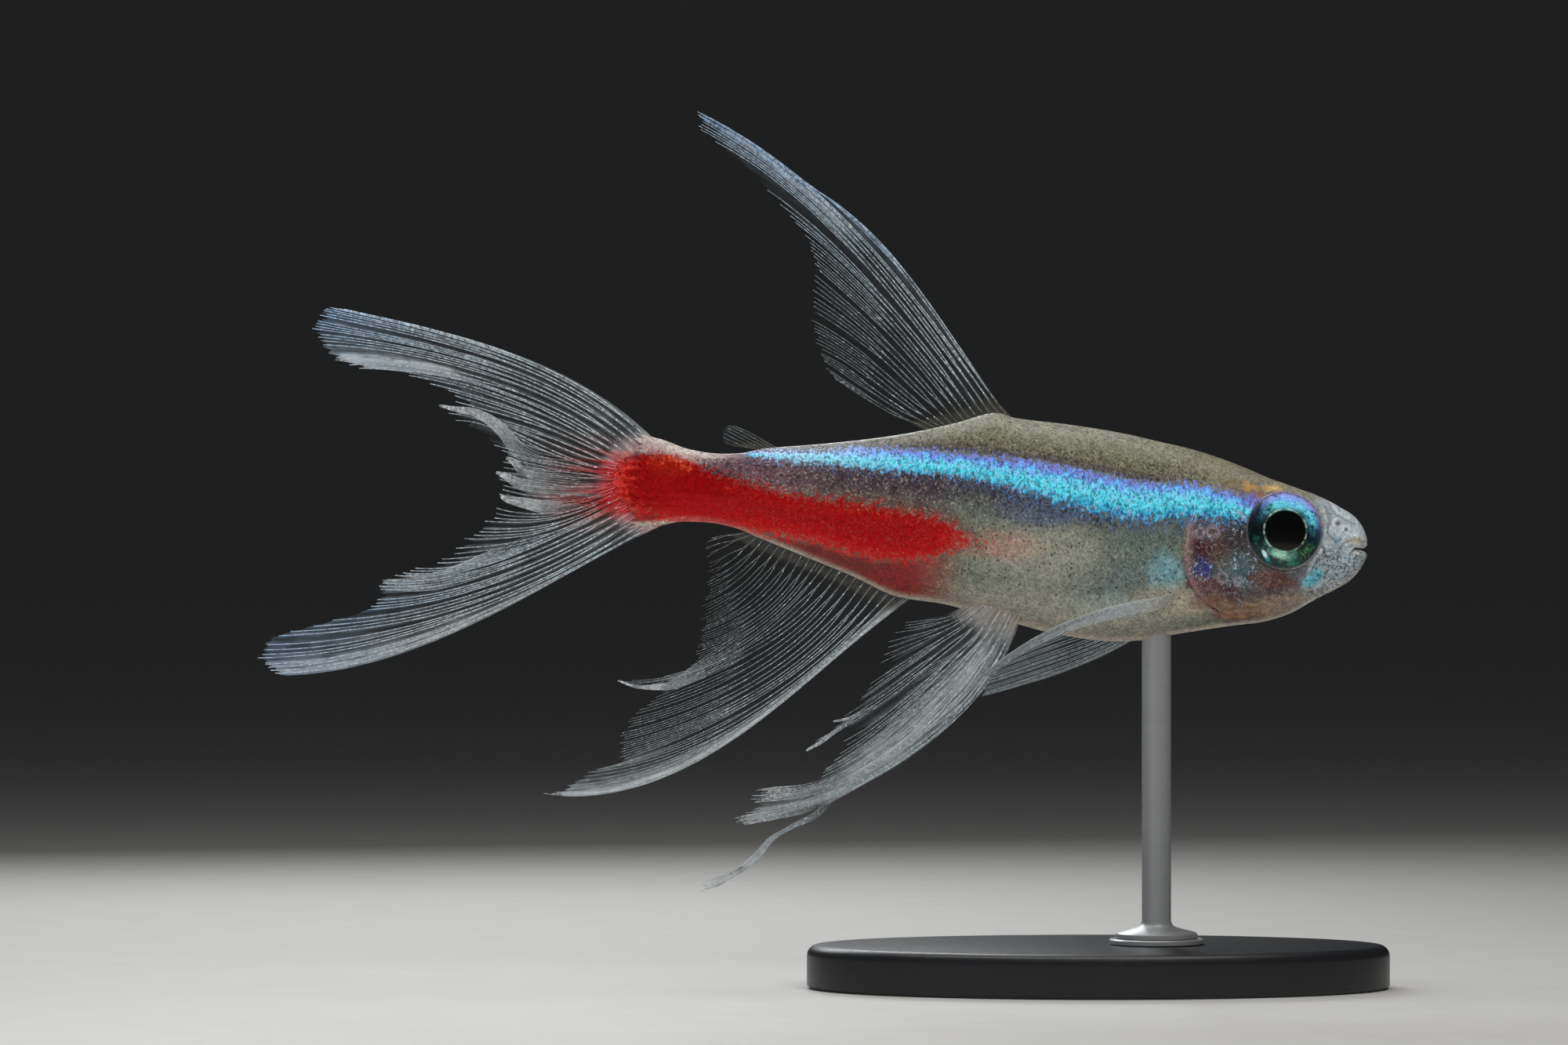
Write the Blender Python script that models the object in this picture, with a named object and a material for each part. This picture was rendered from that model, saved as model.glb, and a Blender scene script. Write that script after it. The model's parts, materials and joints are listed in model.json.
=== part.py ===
"""A long-finned neon tetra, life size, as a still display model on a small stand.

The fish is lofted from stations along its length and parted into head, trunk and tail stem.
Each fin is a sheet swept along its fin rays and given a thickness. Sizes are in millimetres and
degrees until a mesh is made. The fish is shaped level, in its own frame: s runs back from the
snout tip, y to the fish's left and z up. It is then pitched and lifted onto its stand. The
world's origin is the centre of the stand's underside, with +X ahead of the fish.
"""
import math

import bmesh
import bpy
from mathutils import Matrix, Vector

MM = 0.001

# Where the fish stands: its snout tip from the origin, and how far its nose points down.
SNOUT_PLACE = (11.0, 0.0, 18.2)
NOSE_DOWN = 4.5

GAP = 0.25
FIN_THICKNESS = 0.5

# Stations of the body: distance behind the snout, back, belly, level of the greatest width, half
# of the width there, and the section's power below and above that level (1 is an ellipse, less
# is squarer).
STATIONS = (
    (0.0, -0.05, -0.05, -0.05, 0.00, 1.00, 0.90),
    (0.3, 0.80, -0.94, -0.08, 0.54, 1.00, 0.90),
    (0.7, 1.26, -1.47, -0.10, 0.76, 1.00, 0.86),
    (1.3, 1.63, -1.96, -0.10, 0.98, 0.98, 0.80),
    (2.0, 1.92, -2.46, -0.06, 1.19, 0.95, 0.70),
    (3.0, 2.22, -3.10, 0.00, 1.44, 0.90, 0.60),
    (4.1, 2.50, -3.50, 0.05, 1.66, 0.86, 0.60),
    (5.1, 2.84, -3.70, 0.08, 1.83, 0.86, 0.69),
    (6.3, 3.20, -3.97, 0.12, 1.98, 0.87, 0.80),
    (7.5, 3.47, -4.26, 0.15, 2.07, 0.90, 0.88),
    (8.9, 3.68, -4.62, 0.20, 2.14, 0.93, 0.93),
    (10.5, 3.91, -4.77, 0.25, 2.17, 0.95, 0.95),
    (12.5, 4.07, -4.62, 0.32, 2.14, 0.96, 0.96),
    (14.7, 4.16, -4.22, 0.40, 2.02, 0.97, 0.97),
    (15.5, 4.32, -4.08, 0.42, 1.95, 0.98, 0.98),
    (17.2, 3.78, -3.76, 0.40, 1.80, 0.98, 0.98),
    (18.9, 3.26, -3.64, 0.35, 1.62, 0.98, 0.98),
    (21.0, 2.78, -2.90, 0.35, 1.38, 0.97, 0.97),
    (23.0, 2.42, -2.26, 0.36, 1.14, 0.96, 0.96),
    (25.0, 2.10, -1.62, 0.35, 0.92, 0.94, 0.94),
    (26.0, 1.83, -1.30, 0.32, 0.81, 0.92, 0.92),
    (27.0, 1.74, -1.18, 0.30, 0.71, 0.90, 0.90),
    (28.0, 1.82, -1.21, 0.30, 0.60, 0.88, 0.88),
    (29.2, 2.14, -1.50, 0.30, 0.46, 0.86, 0.86),
    (30.8, 2.40, -1.70, 0.30, 0.24, 0.84, 0.84),
)
RING_POINTS = 30

# The seams: the rear edge of the gill covers, the cut above the vent and the root of the tail fin.
GILL_EDGE = 7.5
GILL_EDGE_LEVEL = -1.05
TAIL_STEM_START = 18.4
TAIL_ROOT = 30.6
TAIL_ROOT_LEVEL = 0.3
TAIL_ROOT_CURVE = 0.6

# The dividing line of the jaws, from the lips down and back to the throat.
JAW_LINE = ((-1.0, -0.10), (0.50, -0.13), (0.78, -0.38), (2.2, -1.70), (3.0, -2.60), (3.3, -6.0))

# The eyes: the middle of the rim, its radius, the height of the dome before it and the depth
# behind it. The rim faces a little ahead and up, and the head swells out to meet it.
EYE_PLACE = (3.47, 1.42, 0.36)
EYE_RADIUS = 1.58
EYE_DOME = 0.36
EYE_DEPTH = 0.85
EYE_AHEAD = 8.0
EYE_UP = 5.0
EYE_GAP = 0.15
ORBIT_REACH = 2.2

GILL_COVER_DEPTH = 0.6
GILL_COVER_LENGTH = 1.9
GILL_COVER_SPAN = (-50.0, 32.0)
GILL_COVER_LEAN = 0.5

# Guide rays of each fin, front to rear: share along the root, launch angle above straight back,
# length, bend along the ray, and the part of the bend that grows towards the tip.
DORSAL_RAYS = (
    (0.00, 49, 12.6, 16, -39), (0.09, 52, 17.5, -16, -14), (0.20, 46, 16.6, 12, -39),
    (0.30, 48, 10.0, -7, -7), (0.45, 52, 9.0, -11, -15), (0.57, 54, 8.3, -1, -41),
    (0.70, 58, 7.5, -36, -9), (0.80, 49, 6.6, -34, 9), (0.90, 38, 5.7, -8, -6),
    (1.00, 18, 3.9, 13, -5),
)
ADIPOSE_RAYS = (
    (0.00, 28, 1.7, -4, -18), (0.50, 23, 1.4, 0, 0), (1.00, -4, 0.7, 22, 16),
)
TAIL_UPPER_RAYS = (
    (0.00, 42, 14.7, -67, 32), (0.20, 41, 14.8, -78, 45), (0.40, 34, 13.3, -46, 9),
    (0.50, 29, 10.9, -13, -17), (0.60, 26, 7.8, -20, 4), (0.75, 0, 8.0, 81, -77),
    (0.88, 3, 4.7, 14, 0), (1.00, -7, 4.8, 36, -19),
)
TAIL_LOWER_RAYS = (
    (0.00, -13, 5.1, 31, -8), (0.12, -35, 4.9, 51, -1), (0.25, -36, 5.9, 33, 9),
    (0.40, -36, 7.7, 19, 14), (0.50, -27, 9.9, -20, 47), (0.60, -33, 11.3, 3, 29),
    (0.70, -36, 11.9, 14, 15), (0.80, -39, 16.5, 30, 5), (0.90, -36, 17.4, 13, 17),
    (1.00, -30, 17.2, -26, 52),
)
ANAL_RAYS = (
    (0.00, -40, 17.5, -42, 88), (0.05, -45, 16.2, -12, 52), (0.10, -52, 14.5, 23, 18),
    (0.14, -55, 12.9, 42, -9), (0.22, -60, 12.3, 59, -18), (0.32, -59, 10.8, 53, -12),
    (0.40, -62, 9.1, 79, -45), (0.45, -52, 10.0, 17, 35), (0.52, -60, 6.3, 41, -6),
    (0.62, -68, 5.3, 63, -17), (0.74, -59, 4.1, 23, 11), (0.86, -53, 2.5, 26, -1),
    (0.94, -15, 1.7, -14, -5), (1.00, 1, 0.9, -21, -14),
)
PELVIC_RIGHT_RAYS = (
    (0.00, -73, 14.9, 64, 5), (0.15, -73, 14.0, 71, -10), (0.30, -67, 12.0, 34, 25),
    (0.42, -63, 9.0, 26, 14), (0.56, -61, 9.6, 69, -41), (0.66, -53, 7.8, 41, -18),
    (0.78, -40, 5.6, 6, -2), (0.90, -30, 4.6, -5, -2), (1.00, -23, 3.0, 3, 3),
)
PELVIC_LEFT_RAYS = (
    (0.00, -75, 17.7, 103, -64), (0.10, -75, 17.5, 111, -72), (0.20, -81, 11.6, 105, -59),
    (0.50, -78, 9.0, 83, -40), (0.80, -73, 6.4, 58, -16), (1.00, -64, 4.3, 31, 9),
)
PECTORAL_RIGHT_RAYS = (
    (0.00, -7, 10.7, -42, -7), (0.50, -8, 9.0, -29, -11), (1.00, -12, 7.2, -5, -24),
)
PECTORAL_LEFT_RAYS = (
    (0.00, -45, 8.4, 47, -21), (0.35, -41, 8.4, 46, -29), (0.70, -34, 7.9, 28, -20),
    (1.00, -25, 7.4, 21, -35),
)

# Roots of the fins on the body: first and last distance behind the snout, and the turns round the
# body there. The tail fin's halves run along the root of the tail between two heights.
DORSAL_ROOT = (15.34, 18.86, 90.0, 90.0)
ADIPOSE_ROOT = (24.9, 26.05, 90.0, 90.0)
ANAL_ROOT = (18.8, 26.05, -90.0, -90.0)
PELVIC_RIGHT_ROOT = (13.95, 15.9, -66.0, -64.0)
PELVIC_LEFT_ROOT = (13.85, 15.2, -66.0, -66.0)
PECTORAL_RIGHT_ROOT = (7.85, 8.05, -38.0, -46.0)
PECTORAL_LEFT_ROOT = (7.9, 8.1, -50.0, -40.0)
TAIL_UPPER_ROOT = (1.9, 0.42)
TAIL_LOWER_ROOT = (0.15, -1.45)

# How far the tips of the paired fins stand out from their roots, front ray and rear ray.
PECTORAL_RIGHT_SPLAY = (1.7, 1.2)
PECTORAL_LEFT_SPLAY = (2.6, 1.8)
PELVIC_RIGHT_SPLAY = (1.3, 0.9)
PELVIC_LEFT_SPLAY = (1.5, 0.9)

# Ripples of the fins to either side: depth at the tip, waves along the root and phase.
DORSAL_RIPPLE = (0.45, 0.8, 20.0)
TAIL_UPPER_RIPPLE = (0.55, 0.9, 200.0)
TAIL_LOWER_RIPPLE = (0.55, 0.9, 20.0)
ANAL_RIPPLE = (0.5, 1.3, 60.0)
PELVIC_RIPPLE = (0.35, 0.8, 30.0)
PECTORAL_RIPPLE = (0.2, 0.5, 0.0)

STAND_LENGTH = 24.0
STAND_WIDTH = 15.0
STAND_THICKNESS = 1.8
STAND_BEVEL = 0.35
ROD_RADIUS = 0.6
ROD_X = 2.4
ROD_SINK = 1.3
ROD_ROOT_DEPTH = 1.0
COLLAR_RADIUS = 1.7
COLLAR_HEIGHT = 0.7

RED = (0.45, 0.01, 0.02, 1.0)
SILVER_GREY = (0.30, 0.30, 0.25, 1.0)
CHEEK_GREY = (0.24, 0.22, 0.20, 1.0)
JAW_GREY = (0.33, 0.33, 0.31, 1.0)
EYE_BLACK = (0.01, 0.02, 0.03, 1.0)
FIN_WHITE = (0.55, 0.60, 0.64, 1.0)
STAND_BLACK = (0.02, 0.02, 0.02, 1.0)
STEEL = (0.55, 0.55, 0.55, 1.0)


def smooth_through(knots, values):
    """A monotone cubic through the values, as a function of the knot coordinate."""
    steps = [(b - a) / (q - p) for p, q, a, b in zip(knots, knots[1:], values, values[1:])]
    inner = [0.0 if a * b <= 0 else 2 * a * b / (a + b) for a, b in zip(steps, steps[1:])]
    slopes = [steps[0]] + inner + [steps[-1]]

    def at(x):
        x = min(max(x, knots[0]), knots[-1])
        i = sum(1 for knot in knots[1:-1] if knot <= x)
        width = knots[i + 1] - knots[i]
        r = (x - knots[i]) / width
        ends = values[i] * (1 + 2 * r) * (1 - r) ** 2 + values[i + 1] * r * r * (3 - 2 * r)
        return ends + width * r * (1 - r) * (slopes[i] * (1 - r) - slopes[i + 1] * r)

    return at


# The stations are joined over the root of the distance, which rounds the snout.
STATION_KNOTS = [math.sqrt(row[0]) for row in STATIONS]
SECTION_CURVES = [
    smooth_through(STATION_KNOTS, [row[column] for row in STATIONS]) for column in range(1, 7)
]


def section(s):
    """Back, belly, widest level, half width and the two powers of the body's section at s."""
    root = math.sqrt(max(s, 0.0))
    return [curve(root) for curve in SECTION_CURVES]


def body_point(s, turn):
    """The skin at s. A turn of 0 is the right side, 90 the back, 180 the left, -90 the belly."""
    back, belly, level, half_width, power, crown = section(s)
    across, up = math.cos(math.radians(turn)), math.sin(math.radians(turn))
    out = half_width * abs(across) ** (crown if up > 0 else power)
    z = level + (back - level if up > 0 else level - belly) * up
    return Vector((s, -math.copysign(out + orbit_swell(s, out, z), across), z))


def eye_rim(s, z):
    """How far out the plane of the eye's rim lies."""
    ahead = math.tan(math.radians(EYE_AHEAD)) * (s - EYE_PLACE[0])
    return EYE_PLACE[1] + ahead - math.tan(math.radians(EYE_UP)) * (z - EYE_PLACE[2])


def orbit_swell(s, out, z):
    """How far the head swells out round the eye, to meet its rim."""
    reach = math.hypot(s - EYE_PLACE[0], z - EYE_PLACE[2])
    share = min(max((ORBIT_REACH - reach) / (ORBIT_REACH - EYE_RADIUS), 0.0), 1.0)
    share *= share * (3.0 - 2.0 * share) * min(out / 0.9, 1.0)
    return share * max(eye_rim(s, z) - out, 0.0)


def body_normal(s, turn):
    """The outward direction of the skin at s and turn."""
    along = body_point(s + 0.02, turn) - body_point(s - 0.02, turn)
    around = body_point(s, turn + 0.5) - body_point(s, turn - 0.5)
    normal = along.cross(around).normalized()
    outward = body_point(s, turn) - Vector((s, 0.0, section(s)[2]))
    return normal if normal.dot(outward) > 0 else -normal


def gill_edge(z):
    """Where the gill covers end, behind the snout, at height z."""
    drop = z - GILL_EDGE_LEVEL
    return GILL_EDGE - (0.058 if drop > 0 else 0.30) * drop * drop


def stem_edge(z):
    """Where the trunk ends and the tail stem starts, at height z."""
    return TAIL_STEM_START - 0.05 * z * z


def tail_root(z):
    """Where the flesh ends and the tail fin starts, at height z."""
    return TAIL_ROOT - TAIL_ROOT_CURVE * (z - TAIL_ROOT_LEVEL) ** 2


def to_world(point):
    """A point of the fish's own frame, in world millimetres."""
    pitch = Matrix.Rotation(math.radians(NOSE_DOWN), 3, "Y")
    return Vector(SNOUT_PLACE) + pitch @ Vector((-point.x, point.y, point.z))


def material(name, colour, roughness, metallic=0.0):
    """A Principled material."""
    finish = bpy.data.materials.new(name)
    finish.use_nodes = True
    shader = finish.node_tree.nodes["Principled BSDF"]
    shader.inputs["Base Color"].default_value = colour
    shader.inputs["Roughness"].default_value = roughness
    shader.inputs["Metallic"].default_value = metallic
    finish.diffuse_color = colour
    return finish


def add_object(name, mesh_data, finish, parent=None):
    """An object with its material, smooth where its faces meet gently."""
    mesh = bpy.data.meshes.new(name)
    mesh_data.normal_update()
    bmesh.ops.recalc_face_normals(mesh_data, faces=mesh_data.faces)
    mesh_data.to_mesh(mesh)
    mesh_data.free()
    mesh.shade_smooth()
    mesh.set_sharp_from_angle(angle=math.radians(40))
    if finish:
        mesh.materials.append(finish)
    thing = bpy.data.objects.new(name, mesh)
    thing.parent = parent
    bpy.context.scene.collection.objects.link(thing)
    return thing


def as_cutter(thing):
    """Marks an object as a tool that is not part of the model."""
    thing.hide_render = True
    thing.display_type = "WIRE"
    return thing


def cut(thing, cutter, operation="DIFFERENCE"):
    """A Boolean of the object with the cutter."""
    modifier = thing.modifiers.new(cutter.name, "BOOLEAN")
    modifier.operation = operation
    modifier.solver = "EXACT"
    modifier.object = cutter


def fish_vertex(data, point):
    """A vertex at a point of the fish's own frame."""
    return data.verts.new(Vector((-point.x, point.y, point.z)) * MM)


def close_rings(data, rings):
    """Faces between neighbouring closed rings of vertices."""
    for ring, following in zip(rings, rings[1:]):
        count = len(ring)
        for i in range(count):
            j = (i + 1) % count
            data.faces.new((ring[i], ring[j], following[j], following[i]))


def close_end(data, ring, centre):
    """A fan of faces from a ring to one vertex."""
    for i, vertex in enumerate(ring):
        data.faces.new((vertex, ring[(i + 1) % len(ring)], centre))


def body_length(first, last, steps, power=1.0):
    """A closed length of the body between two edges, each a function of the height."""
    data = bmesh.new()
    rings = []
    turns = [360.0 * i / RING_POINTS - 90.0 for i in range(RING_POINTS)]
    for k in range(0 if first else 1, steps + 1):
        share = (k / steps) ** power
        ring = []
        for turn in turns:
            start = first(body_point(first(0.0), turn).z) if first else 0.0
            end = last(body_point(last(0.0), turn).z)
            ring.append(fish_vertex(data, body_point(start + (end - start) * share, turn)))
        rings.append(ring)
    close_rings(data, rings)
    if first:
        level = section(first(0.0))[2]
        close_end(data, rings[0], fish_vertex(data, Vector((first(level), 0.0, level))))
    else:
        close_end(data, rings[0], fish_vertex(data, body_point(0.0, 90.0)))
    level = section(last(0.0))[2]
    close_end(data, rings[-1], fish_vertex(data, Vector((last(level), 0.0, level))))
    return data


def moved(edge, distance):
    """An edge function shifted back by a distance."""
    return lambda z: edge(z) + distance


def sheet_solid(outer, inner):
    """The closed solid between two grids of points."""
    data = bmesh.new()
    grids = [[[fish_vertex(data, point) for point in row] for row in grid]
             for grid in (outer, inner)]
    rows, columns = len(outer), len(outer[0])
    for side, grid in enumerate(grids):
        for i in range(rows - 1):
            for j in range(columns - 1):
                face = (grid[i][j], grid[i + 1][j], grid[i + 1][j + 1], grid[i][j + 1])
                data.faces.new(face if side else face[::-1])
    rim = [(i, 0) for i in range(rows)] + [(rows - 1, j) for j in range(1, columns)]
    rim += [(i, columns - 1) for i in range(rows - 2, -1, -1)]
    rim += [(0, j) for j in range(columns - 2, 0, -1)]
    for (i, j), (k, l) in zip(rim, rim[1:] + rim[:1]):
        data.faces.new((grids[0][i][j], grids[0][k][l], grids[1][k][l], grids[1][i][j]))
    return data


def gill_cover(side, grow=0.0):
    """The plate over the gills of one side, or with grow the pocket that it lies in."""
    rows, columns = 9, 8
    low, high = GILL_COVER_SPAN
    swing = math.degrees(grow / section(GILL_EDGE)[3])
    outer, inner = [], []
    for i in range(rows):
        share = 2.0 * i / (rows - 1) - 1.0
        turn = low - swing + (high - low + 2 * swing) * i / (rows - 1)
        rear = gill_edge(body_point(GILL_EDGE, turn).z) - GAP / 2
        length = GILL_COVER_LENGTH * math.sqrt(1.0 - 0.8 * share * share)
        front = rear - length - grow
        rear += 4 * grow
        outer_row, inner_row = [], []
        for j in range(columns):
            s = front + (rear - front) * j / (columns - 1)
            point, normal = body_point(s, turn), body_normal(s, turn)
            outer_row.append(point + normal * 2 * grow)
            lean = GILL_COVER_LEAN * j / (columns - 1)
            inner_row.append(body_point(s - lean, turn) - normal * (GILL_COVER_DEPTH + grow))
        outer.append(outer_row)
        inner.append(inner_row)
    if side > 0:
        for grid in (outer, inner):
            for row in grid:
                for point in row:
                    point.y = -point.y
    return sheet_solid(outer, inner)


def jaw_prism(shift):
    """The space below the dividing line of the jaws, its line moved down by shift."""
    line = [Vector((s, 0.0, z)) for s, z in JAW_LINE]
    shifted = []
    for i, point in enumerate(line):
        along = (line[min(i + 1, len(line) - 1)] - line[max(i - 1, 0)]).normalized()
        shifted.append(point + Vector((along.z, 0.0, -along.x)) * shift)
    outline = shifted + [Vector((JAW_LINE[0][0], 0.0, JAW_LINE[-1][1]))]
    half = 3.0
    data = bmesh.new()
    rings = [[fish_vertex(data, Vector((p.x, y, p.z))) for p in outline] for y in (-half, half)]
    close_rings(data, rings)
    data.faces.new(rings[0])
    data.faces.new(rings[1][::-1])
    return data


def eye_ball(side, grow=0.0):
    """A lens-shaped ball: a low dome outside its rim and a deeper bowl inside."""
    rings, points = 10, 20
    radius = EYE_RADIUS + grow
    dome, depth = EYE_DOME + grow, EYE_DEPTH + grow
    data = bmesh.new()
    levels = []
    for k in range(1, rings):
        angle = math.radians(180.0 * k / rings - 90.0)
        rise = math.sin(angle)
        height = dome * rise * rise if rise > 0 else depth * rise
        reach = radius * math.cos(angle)
        levels.append([data.verts.new((reach * math.cos(math.tau * i / points),
                                       reach * math.sin(math.tau * i / points), height))
                       for i in range(points)])
    close_rings(data, levels)
    close_end(data, levels[0], data.verts.new((0.0, 0.0, -depth)))
    close_end(data, levels[-1], data.verts.new((0.0, 0.0, dome)))
    s, y, z = EYE_PLACE
    facing = Vector((math.tan(math.radians(EYE_AHEAD)), side, math.tan(math.radians(EYE_UP))))
    turn = facing.to_track_quat("Z", "Y").to_matrix().to_4x4()
    place = Matrix.Translation(Vector((-s, side * y, z)) * MM) @ turn @ Matrix.Scale(MM, 4)
    bmesh.ops.transform(data, matrix=place, verts=data.verts)
    return data


def surface_root(root, side):
    """The points of a fin's root on the body, as a function of the share along it."""
    s_front, s_rear, turn_front, turn_rear = root

    def at(share):
        s = s_front + (s_rear - s_front) * share
        turn = turn_front + (turn_rear - turn_front) * share
        point, normal = body_point(s, turn), body_normal(s, turn)
        if side == 0:
            return point + Vector((0.0, 0.0, math.copysign(GAP, turn)))
        point += normal * (GAP + FIN_THICKNESS / 2 + 0.02)
        point.y *= -side
        return point

    return at


def tail_fin_root(root):
    """The points of a half of the tail fin's root, as a function of the share along it."""
    def at(share):
        z = root[0] + (root[1] - root[0]) * share
        return Vector((tail_root(z) + GAP, 0.0, z))

    return at


def ray_path(angle, length, bend, curl, steps):
    """Points along a ray from its root: how far back and up each lies."""
    finer = 4
    back, up = 0.0, 0.0
    path = [(0.0, 0.0)]
    for k in range(steps * finer):
        t = (k + 0.5) / (steps * finer)
        heading = math.radians(angle + bend * t + curl * t * t)
        back += math.cos(heading) * length / (steps * finer)
        up += math.sin(heading) * length / (steps * finer)
        if k % finer == finer - 1:
            path.append((back, up))
    return path


def fin(name, rays, root_at, finish, parent, side=0, splay=(0.0, 0.0), ripple=(0, 0, 0), steps=10,
        between=2):
    """A fin of even thickness, swept along rays that are read from the guide rays."""
    shares = [ray[0] for ray in rays]
    curves = [smooth_through(shares, [ray[column] for ray in rays]) for column in range(1, 5)]
    depth, waves, phase = ripple
    sheet = []
    for first, second in zip(shares, shares[1:]):
        cuts = between if second - first < 0.3 else between + 1
        sheet += [first + (second - first) * k / cuts for k in range(cuts)]
    sheet.append(1.0)
    grid = []
    for share in sheet:
        root = root_at(share)
        out = splay[0] + (splay[1] - splay[0]) * share
        wave = depth * math.sin(math.radians(360.0 * waves * share + phase))
        row = []
        for k, (back, up) in enumerate(ray_path(*[curve(share) for curve in curves], steps)):
            t = k / steps
            y = side * out * t * (2.0 - t) + wave * t * t
            row.append(root + Vector((back, y, up)))
        grid.append(row)
    faces = sheet_sides(grid, FIN_THICKNESS / 2)
    return add_object(name, sheet_solid(*faces), finish, parent)


def sheet_sides(grid, half):
    """The two faces of a sheet, each half the thickness away from its middle."""
    rows, columns = len(grid), len(grid[0])
    faces = ([], [])
    for i in range(rows):
        for face in faces:
            face.append([])
        for j in range(columns):
            along = grid[i][min(j + 1, columns - 1)] - grid[i][max(j - 1, 0)]
            across = grid[min(i + 1, rows - 1)][j] - grid[max(i - 1, 0)][j]
            normal = along.cross(across).normalized()
            faces[0][-1].append(grid[i][j] + normal * half)
            faces[1][-1].append(grid[i][j] - normal * half)
    return faces


def turned(name, profile, segments, finish, place=(0.0, 0.0), stretch=1.0):
    """A solid turned about an upright axis from (radius, height) points, low end first."""
    data = bmesh.new()
    rings = []
    for radius, height in profile:
        ring = []
        for i in range(segments):
            angle = math.tau * i / segments
            x = place[0] + radius * math.cos(angle)
            y = place[1] + stretch * radius * math.sin(angle)
            ring.append(data.verts.new(Vector((x, y, height)) * MM))
        rings.append(ring)
    close_rings(data, rings)
    data.faces.new(rings[0])
    data.faces.new(rings[-1][::-1])
    return add_object(name, data, finish)


def belly_height(x):
    """World height of the belly's lowest line at a world x."""
    low, high = 0.5, 20.0
    for _ in range(40):
        middle = (low + high) / 2
        if to_world(body_point(middle, -90.0)).x > x:
            low = middle
        else:
            high = middle
    return to_world(body_point(low, -90.0)).z


def make_body(fish):
    """Head, gill covers, lower jaw, trunk, tail stem and eyes."""
    cheek = material("cheek", CHEEK_GREY, 0.4)
    flank = material("flank", SILVER_GREY, 0.35)
    eye_finish = material("eye", EYE_BLACK, 0.1)
    half_gap = GAP / 2
    front = moved(gill_edge, -half_gap)
    head = add_object("head", body_length(None, front, 12, 2.0), cheek, fish)
    jaw = add_object("lower_jaw", body_length(None, front, 12, 2.0),
                     material("jaw", JAW_GREY, 0.4), fish)
    above = as_cutter(add_object("jaw_cut", jaw_prism(-half_gap), None, fish))
    below = as_cutter(add_object("jaw_space", jaw_prism(half_gap), None, fish))
    cut(head, above)
    cut(jaw, below, "INTERSECT")
    for side, word in ((-1, "right"), (1, "left")):
        add_object("eye_" + word, eye_ball(side), eye_finish, fish)
        socket = as_cutter(add_object("socket_" + word, eye_ball(side, EYE_GAP), None, fish))
        cut(head, socket)
        add_object("gill_cover_" + word, gill_cover(side), cheek, fish)
        pocket = as_cutter(add_object("pocket_" + word, gill_cover(side, GAP), None, fish))
        cut(head, pocket)
    trunk = add_object("trunk", body_length(moved(gill_edge, half_gap),
                                            moved(stem_edge, -half_gap), 10), flank, fish)
    add_object("tail_stem", body_length(moved(stem_edge, half_gap), tail_root, 10),
               material("red_flank", RED, 0.35), fish)
    return trunk


def make_fins(fish):
    """All fins, each a sheet with its own root, splay and ripple."""
    ray_finish = material("fin", FIN_WHITE, 0.35)
    fin("dorsal_fin", DORSAL_RAYS, surface_root(DORSAL_ROOT, 0), ray_finish, fish,
        ripple=DORSAL_RIPPLE)
    fin("adipose_fin", ADIPOSE_RAYS, surface_root(ADIPOSE_ROOT, 0), ray_finish, fish, steps=4)
    fin("caudal_fin_upper", TAIL_UPPER_RAYS, tail_fin_root(TAIL_UPPER_ROOT), ray_finish, fish,
        ripple=TAIL_UPPER_RIPPLE)
    fin("caudal_fin_lower", TAIL_LOWER_RAYS, tail_fin_root(TAIL_LOWER_ROOT), ray_finish, fish,
        ripple=TAIL_LOWER_RIPPLE)
    fin("anal_fin", ANAL_RAYS, surface_root(ANAL_ROOT, 0), ray_finish, fish,
        ripple=ANAL_RIPPLE, between=1)
    fin("pelvic_fin_right", PELVIC_RIGHT_RAYS, surface_root(PELVIC_RIGHT_ROOT, -1), ray_finish,
        fish, -1, PELVIC_RIGHT_SPLAY, PELVIC_RIPPLE)
    fin("pelvic_fin_left", PELVIC_LEFT_RAYS, surface_root(PELVIC_LEFT_ROOT, 1), ray_finish,
        fish, 1, PELVIC_LEFT_SPLAY, PELVIC_RIPPLE)
    fin("pectoral_fin_right", PECTORAL_RIGHT_RAYS, surface_root(PECTORAL_RIGHT_ROOT, -1),
        ray_finish, fish, -1, PECTORAL_RIGHT_SPLAY, PECTORAL_RIPPLE, 8)
    fin("pectoral_fin_left", PECTORAL_LEFT_RAYS, surface_root(PECTORAL_LEFT_ROOT, 1),
        ray_finish, fish, 1, PECTORAL_LEFT_SPLAY, PECTORAL_RIPPLE, 8)


def make_stand(trunk):
    """The foot plate, the rod that rises into the belly, and their holes."""
    black = material("stand_black", STAND_BLACK, 0.45)
    half, top = STAND_LENGTH / 2, STAND_THICKNESS
    plate = turned("stand_base", ((half, 0.0), (half, top - STAND_BEVEL), (half - STAND_BEVEL, top)),
                   48, black, stretch=STAND_WIDTH / STAND_LENGTH)
    tip = belly_height(ROD_X) + ROD_SINK
    foot = top - ROD_ROOT_DEPTH
    collar = top + GAP
    place = (ROD_X, 0.0)
    turned("stand_rod", ((ROD_RADIUS, foot), (ROD_RADIUS, collar), (COLLAR_RADIUS, collar),
                         (ROD_RADIUS, collar + COLLAR_HEIGHT), (ROD_RADIUS, tip)),
           20, material("stand_steel", STEEL, 0.3, 1.0), place)
    wide = ROD_RADIUS + GAP
    seat = turned("rod_seat", ((wide, foot - GAP), (wide, top + 1.0)), 20, None, place)
    cut(plate, as_cutter(seat))
    hole = turned("rod_hole", ((wide, top + 1.0), (wide, tip + GAP)), 20, None, place)
    cut(trunk, as_cutter(hole))


def main():
    for thing in list(bpy.data.objects):
        bpy.data.objects.remove(thing)
    fish = bpy.data.objects.new("fish", None)
    fish.location = Vector(SNOUT_PLACE) * MM
    fish.rotation_euler = (0.0, math.radians(NOSE_DOWN), 0.0)
    bpy.context.scene.collection.objects.link(fish)
    trunk = make_body(fish)
    make_fins(fish)
    make_stand(trunk)


main()
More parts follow.
